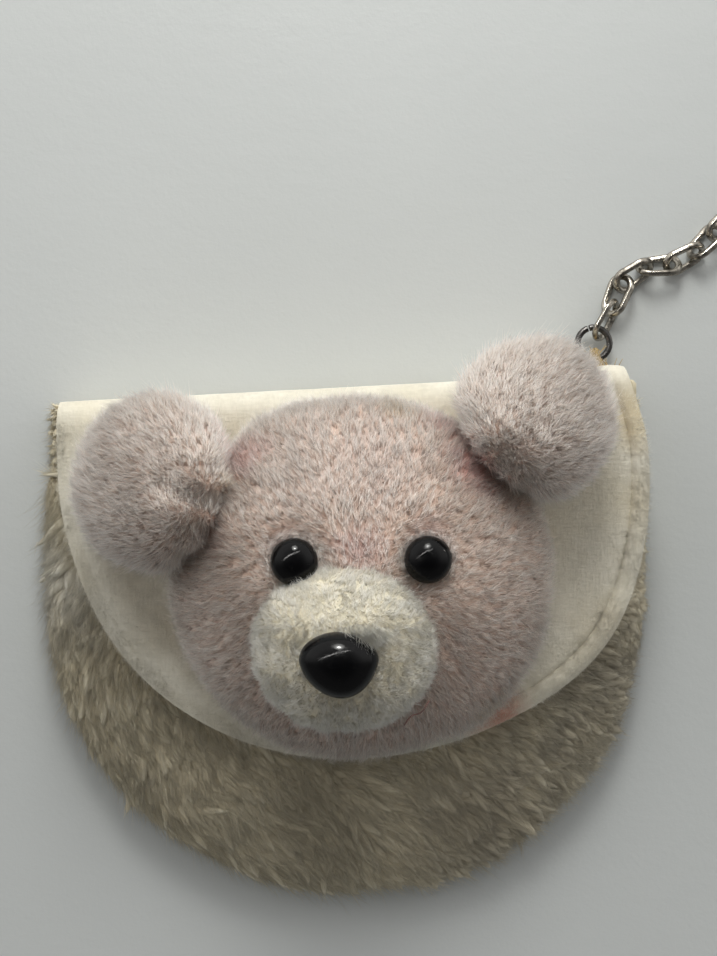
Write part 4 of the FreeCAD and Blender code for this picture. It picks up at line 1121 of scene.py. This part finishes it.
def oval(long, wide, wire):
    """A chain link's centre line: two straights and two half rounds."""
    straight, radius = long - wide, wide / 2 - wire
    half = straight + math.pi * radius
    out = []
    for s in np.linspace(0, 2 * half, 96, endpoint=False):
        way, s = (1, s) if s < half else (-1, s - half)
        if s < straight:
            out.append((way * (s - straight / 2), -way * radius, 0.0))
        else:
            a = (s - straight) / radius - math.pi / 2
            out.append((way * (straight / 2 + radius * math.cos(a)), way * radius * math.sin(a), 0.0))
    return np.array(out)


LINK_LONG, LINK_WIDE, LINK_WIRE = 7.2, 4.5, 0.525
links = []
for k in range(1, 11):
    name = f"chain_link_{k:02d}"
    middle, axes = node_frame(name)
    wire = 0.49 if k == 1 else LINK_WIRE
    points, faces = tube(oval(LINK_LONG, LINK_WIDE, LINK_WIRE), circle(wire, 16, 0.07, 0.5), closed=True)
    twist = (0.02 if k == 1 else 0.05) * points[:, 0]
    x, y, z = points.T
    points = np.stack([x, y * np.cos(twist) - z * np.sin(twist), y * np.sin(twist) + z * np.cos(twist)], 1)
    links.append((mesh(f"{name}_wire", points @ axes.T + middle, faces, nickel), name))


def ring_wire(name, node, radius, wire, material):
    """A bent wire ring with a fine cut in it."""
    middle, axes = node_frame(node)
    gap, start = 0.05, 1.9
    a = np.linspace(gap, 2 * math.pi - gap, 110) + start
    path = np.stack([radius * np.cos(a), radius * np.sin(a), 0.06 * np.linspace(-1, 1, 110)], 1)
    points, faces = tube(path, circle(wire, 16, 0.02))
    return mesh(name, points @ axes.T + middle, faces, material)


jump = ring_wire("jump_ring_wire", "jump_ring", 2.45, 0.5, gunmetal)
end = ring_wire("end_ring_wire", "end_ring", 3.2, 0.53, nickel)

# Split ring: two turns of flat wire, the second climbing over the first
SPLIT_R, SPLIT_RISE = 10.5, 0.78
middle, axes = node_frame("split_ring")
a = np.linspace(0, 4 * math.pi, 420)
slope = SPLIT_RISE * (smooth_step(a, 5.2, 7.4) - 0.5)
path = np.stack([SPLIT_R * np.cos(a), SPLIT_R * np.sin(a), slope], 1)
flat_wire = np.array([(-0.7, -0.24), (-0.55, -0.36), (0.55, -0.36), (0.7, -0.24), (0.7, 0.24), (0.55, 0.36),
                      (-0.55, 0.36), (-0.7, 0.24)])
points, faces = tube(path, flat_wire)
split = mesh("split_ring_coil", points @ axes.T + middle, faces, steel)

# Yarn loop: many fibres from the flap's corner, through the jump ring and back, with frayed ends
low, high = node_box("hang_loop")
tip = np.array([(low[0] + high[0]) / 2, high[1] - 0.35, (low[2] + high[2]) / 2])
fibres = []
for k in range(64):
    fan_out = rng.normal(scale=1.0)
    root = np.array([40.3 + 1.0 * fan_out, 38.9 + 0.3 * rng.normal(), 0])
    near = np.array([tip[0] + 0.35 * fan_out, tip[1] - 1.4, 0])
    reach = 0.15 * rng.normal()
    knots = np.array([
        (*root[:2], 8.2 + 1.4 * rng.random()),
        (root[0] * 0.6 + near[0] * 0.4, 40.6, 6.2 + rng.normal() * 0.5),
        (*near[:2], tip[2] + 1.5),
        (tip[0] + 0.3 * fan_out, tip[1] - 0.1 + reach, tip[2] + 0.8),
        (tip[0] + 0.3 * fan_out, tip[1] + 0.1 + reach, tip[2]),
        (tip[0] + 0.3 * fan_out, tip[1] - 0.1 + reach, tip[2] - 0.8),
        (*near[:2], tip[2] - 1.4),
        (root[0] * 0.6 + near[0] * 0.4, 40.4, 2.4 + rng.normal() * 0.4),
        (*root[:2], 3.2 + 1.2 * rng.random()),
    ])
    if k % 3 == 0:
        knots = knots[: rng.integers(3, 5)]
        knots[-1] += (1.5 * rng.normal(), 0.8 * rng.random(), 0.5 * rng.random())
    t = np.linspace(0, len(knots) - 1, 30)
    path = np.stack([np.interp(t, np.arange(len(knots)), knots[:, i]) for i in range(3)], 1)
    for _ in range(3):
        path[1:-1] = (path[:-2] + 2 * path[1:-1] + path[2:]) / 4
    path += 0.07 * np.stack([np.sin(t * 5 + k), np.cos(t * 4 + 2 * k), np.sin(t * 6 + 3 * k)], 1)
    thick = 0.085 * (1 - 0.5 * np.linspace(0, 1, 30) ** 4)
    fibres.append(tube(path, circle(1, 5)[None] * thick[:, None, None], np.array([1.0, 0.2, 0.1])))
loop = mesh("hang_loop_yarn", *joined(fibres), yarn)


# ---- what each piece rides on, stands for and is ----

for obj in (front, back, inner_front, inner_back, binding, binding_stitches, seam, loop, stud):
    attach(obj, "pouch")
for obj in (topstitch, nap, head, muzzle, *ear_skins.values(), *eyes.values(), snout, socket, loose):
    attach(obj, "flap")
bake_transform(flap)
links += [(jump, "jump_ring"), (end, "end_ring"), (split, "split_ring")]
for obj, name in links:
    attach(obj, name)
    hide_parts(name)

for obj, nodes, slot in (
    (front, ["front_panel"], "sherpa_cream"),
    (back, ["back_panel"], "sherpa_cream"),
    (inner_front, ["front_lining"], "lining_cotton"),
    (inner_back, ["back_lining"], "lining_cotton"),
    (binding, ["mouth_binding"], "cotton_cream"),
    (seam, ["pouch_seam_thread"], "thread"),
    (flap, ["flap_cloth", "flap_lining", "hinge_strip"], "cotton_cream"),
    (topstitch, ["flap_topstitch"], "thread"),
    (head, ["head_plush", "head_stuffing", "head_base_cloth"], "plush_mauve"),
    (muzzle, ["muzzle_plush", "muzzle_stuffing"], "plush_cream"),
    *((ear_skins[side], [f"{side}_ear_{part}" for part in ("front", "back", "stuffing")], "plush_mauve")
      for side in EARS),
    *((eyes[label], [label], "black_plastic") for label in EYES),
    (snout, ["nose"], "black_plastic"),
    (stud, ["snap_stud"], "snap_metal"),
    (socket, ["snap_socket"], "snap_metal"),
    (loop, ["hang_loop"], "loop_yarn"),
):
    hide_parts(*nodes)

for node in ("nose_washer", "left_eye_washer", "right_eye_washer"):
    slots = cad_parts[node].data.materials
    slots.clear()
    slots.append(washer)


# ---- table, light and camera ----

p = Paint("table_top", Roughness=0.5, Specular_IOR_Level=0.35)
creased = p.math("ADD", p.math("MULTIPLY", p.noise(300.0, 4.0, 0.6), 2.0), p.noise(1400.0, 3.0, 0.7))
p.bumps(creased, 0.2, 0.14)
table_paint = p.colour(p.mix(p.ramp(p.noise(9.0), 0.3, 0.7), (0.62, 0.645, 0.64), (0.66, 0.685, 0.68)))
TABLE_HALF, TABLE_LINES, TABLE_Z = 1200, 13, -0.02
side = np.linspace(-TABLE_HALF, TABLE_HALF, TABLE_LINES)
gx, gy = (g.ravel() for g in np.meshgrid(side, side))
points = np.stack([gx, gy, 0 * gx + TABLE_Z], 1)
table = mesh("table", points, [grid_faces(TABLE_LINES, TABLE_LINES)], table_paint)


def softbox(name, place, aim, size, power, colour):
    """A lamp whose face is turned to aim. Its shape isn't seen."""
    light = bpy.data.lights.new(name, "AREA")
    light.shape = "ELLIPSE"
    light.size, light.size_y = size
    light.energy = power
    light.color = colour
    obj = bpy.data.objects.new(name, light)
    bpy.context.scene.collection.objects.link(obj)
    obj.visible_camera = False
    obj.location = place
    obj.rotation_euler = (Vector(aim) - Vector(place)).to_track_quat("-Z", "Y").to_euler()
    return obj


# A window on the +Y side, and two lamps that show only as highlights in the eyes and nose
softbox("window", (0.0, 0.3, 0.22), (0, 0.02, 0), (0.12, 0.15), 0.5, (1.0, 1.0, 0.96))
strip = softbox("ceiling_strip", (-0.09, 0.33, 0.6), (0, 0, 0), (1.0, 0.012), 2.5, (1.0, 0.98, 0.95))
strip.rotation_euler = (0.0, 0.0, 0.54)
glint = softbox("glint", (0.0, 0.3, 0.24), (0, 0.02, 0), (0.045, 0.04), 0.5, (1.0, 1.0, 0.98))
for lamp in (strip, glint):
    lamp.visible_diffuse = False

world = bpy.data.worlds.new("room")
bpy.context.scene.world = world
world.use_nodes = True
back_light = world.node_tree.nodes["Background"]
back_light.inputs["Color"].default_value = (1.0, 0.99, 0.97, 1)


def world_ramp(value, low, high, to_low, to_high):
    node = world.node_tree.nodes.new("ShaderNodeMapRange")
    node.interpolation_type = "SMOOTHSTEP"
    world.node_tree.links.new(value, node.inputs[0])
    for i, v in enumerate((low, high, to_low, to_high)):
        node.inputs[i + 1].default_value = v
    return node.outputs[0]


# The room is brighter low down and on the window's side, and dark overhead
way = world.node_tree.nodes.new("ShaderNodeSeparateXYZ")
around = world.node_tree.nodes.new("ShaderNodeTexCoord")
world.node_tree.links.new(around.outputs["Generated"], way.inputs[0])
glow = world.node_tree.nodes.new("ShaderNodeMath")
glow.operation = "MULTIPLY"
world.node_tree.links.new(world_ramp(way.outputs["Z"], 0.5, 0.97, 1.18, 0.2), glow.inputs[0])
world.node_tree.links.new(world_ramp(way.outputs["Y"], -0.4, 0.4, 0.19, 1.08), glow.inputs[1])
world.node_tree.links.new(glow.outputs[0], back_light.inputs["Strength"])

# The camera looks straight down on the purse, as the photograph does
camera_data = bpy.data.cameras.new("camera")
camera_data.sensor_fit = "VERTICAL"
camera_data.sensor_height = 24.0
camera_data.sensor_width = 24.0
camera_data.lens = 42.1
camera_data.clip_start, camera_data.clip_end = 0.01, 10
camera = bpy.data.objects.new("camera", camera_data)
bpy.context.scene.collection.objects.link(camera)
camera.location = (0.00194, 0.0254, 0.26)
bpy.context.scene.camera = camera
bpy.context.scene.view_settings.view_transform = "Standard"

bpy.context.view_layer.update()
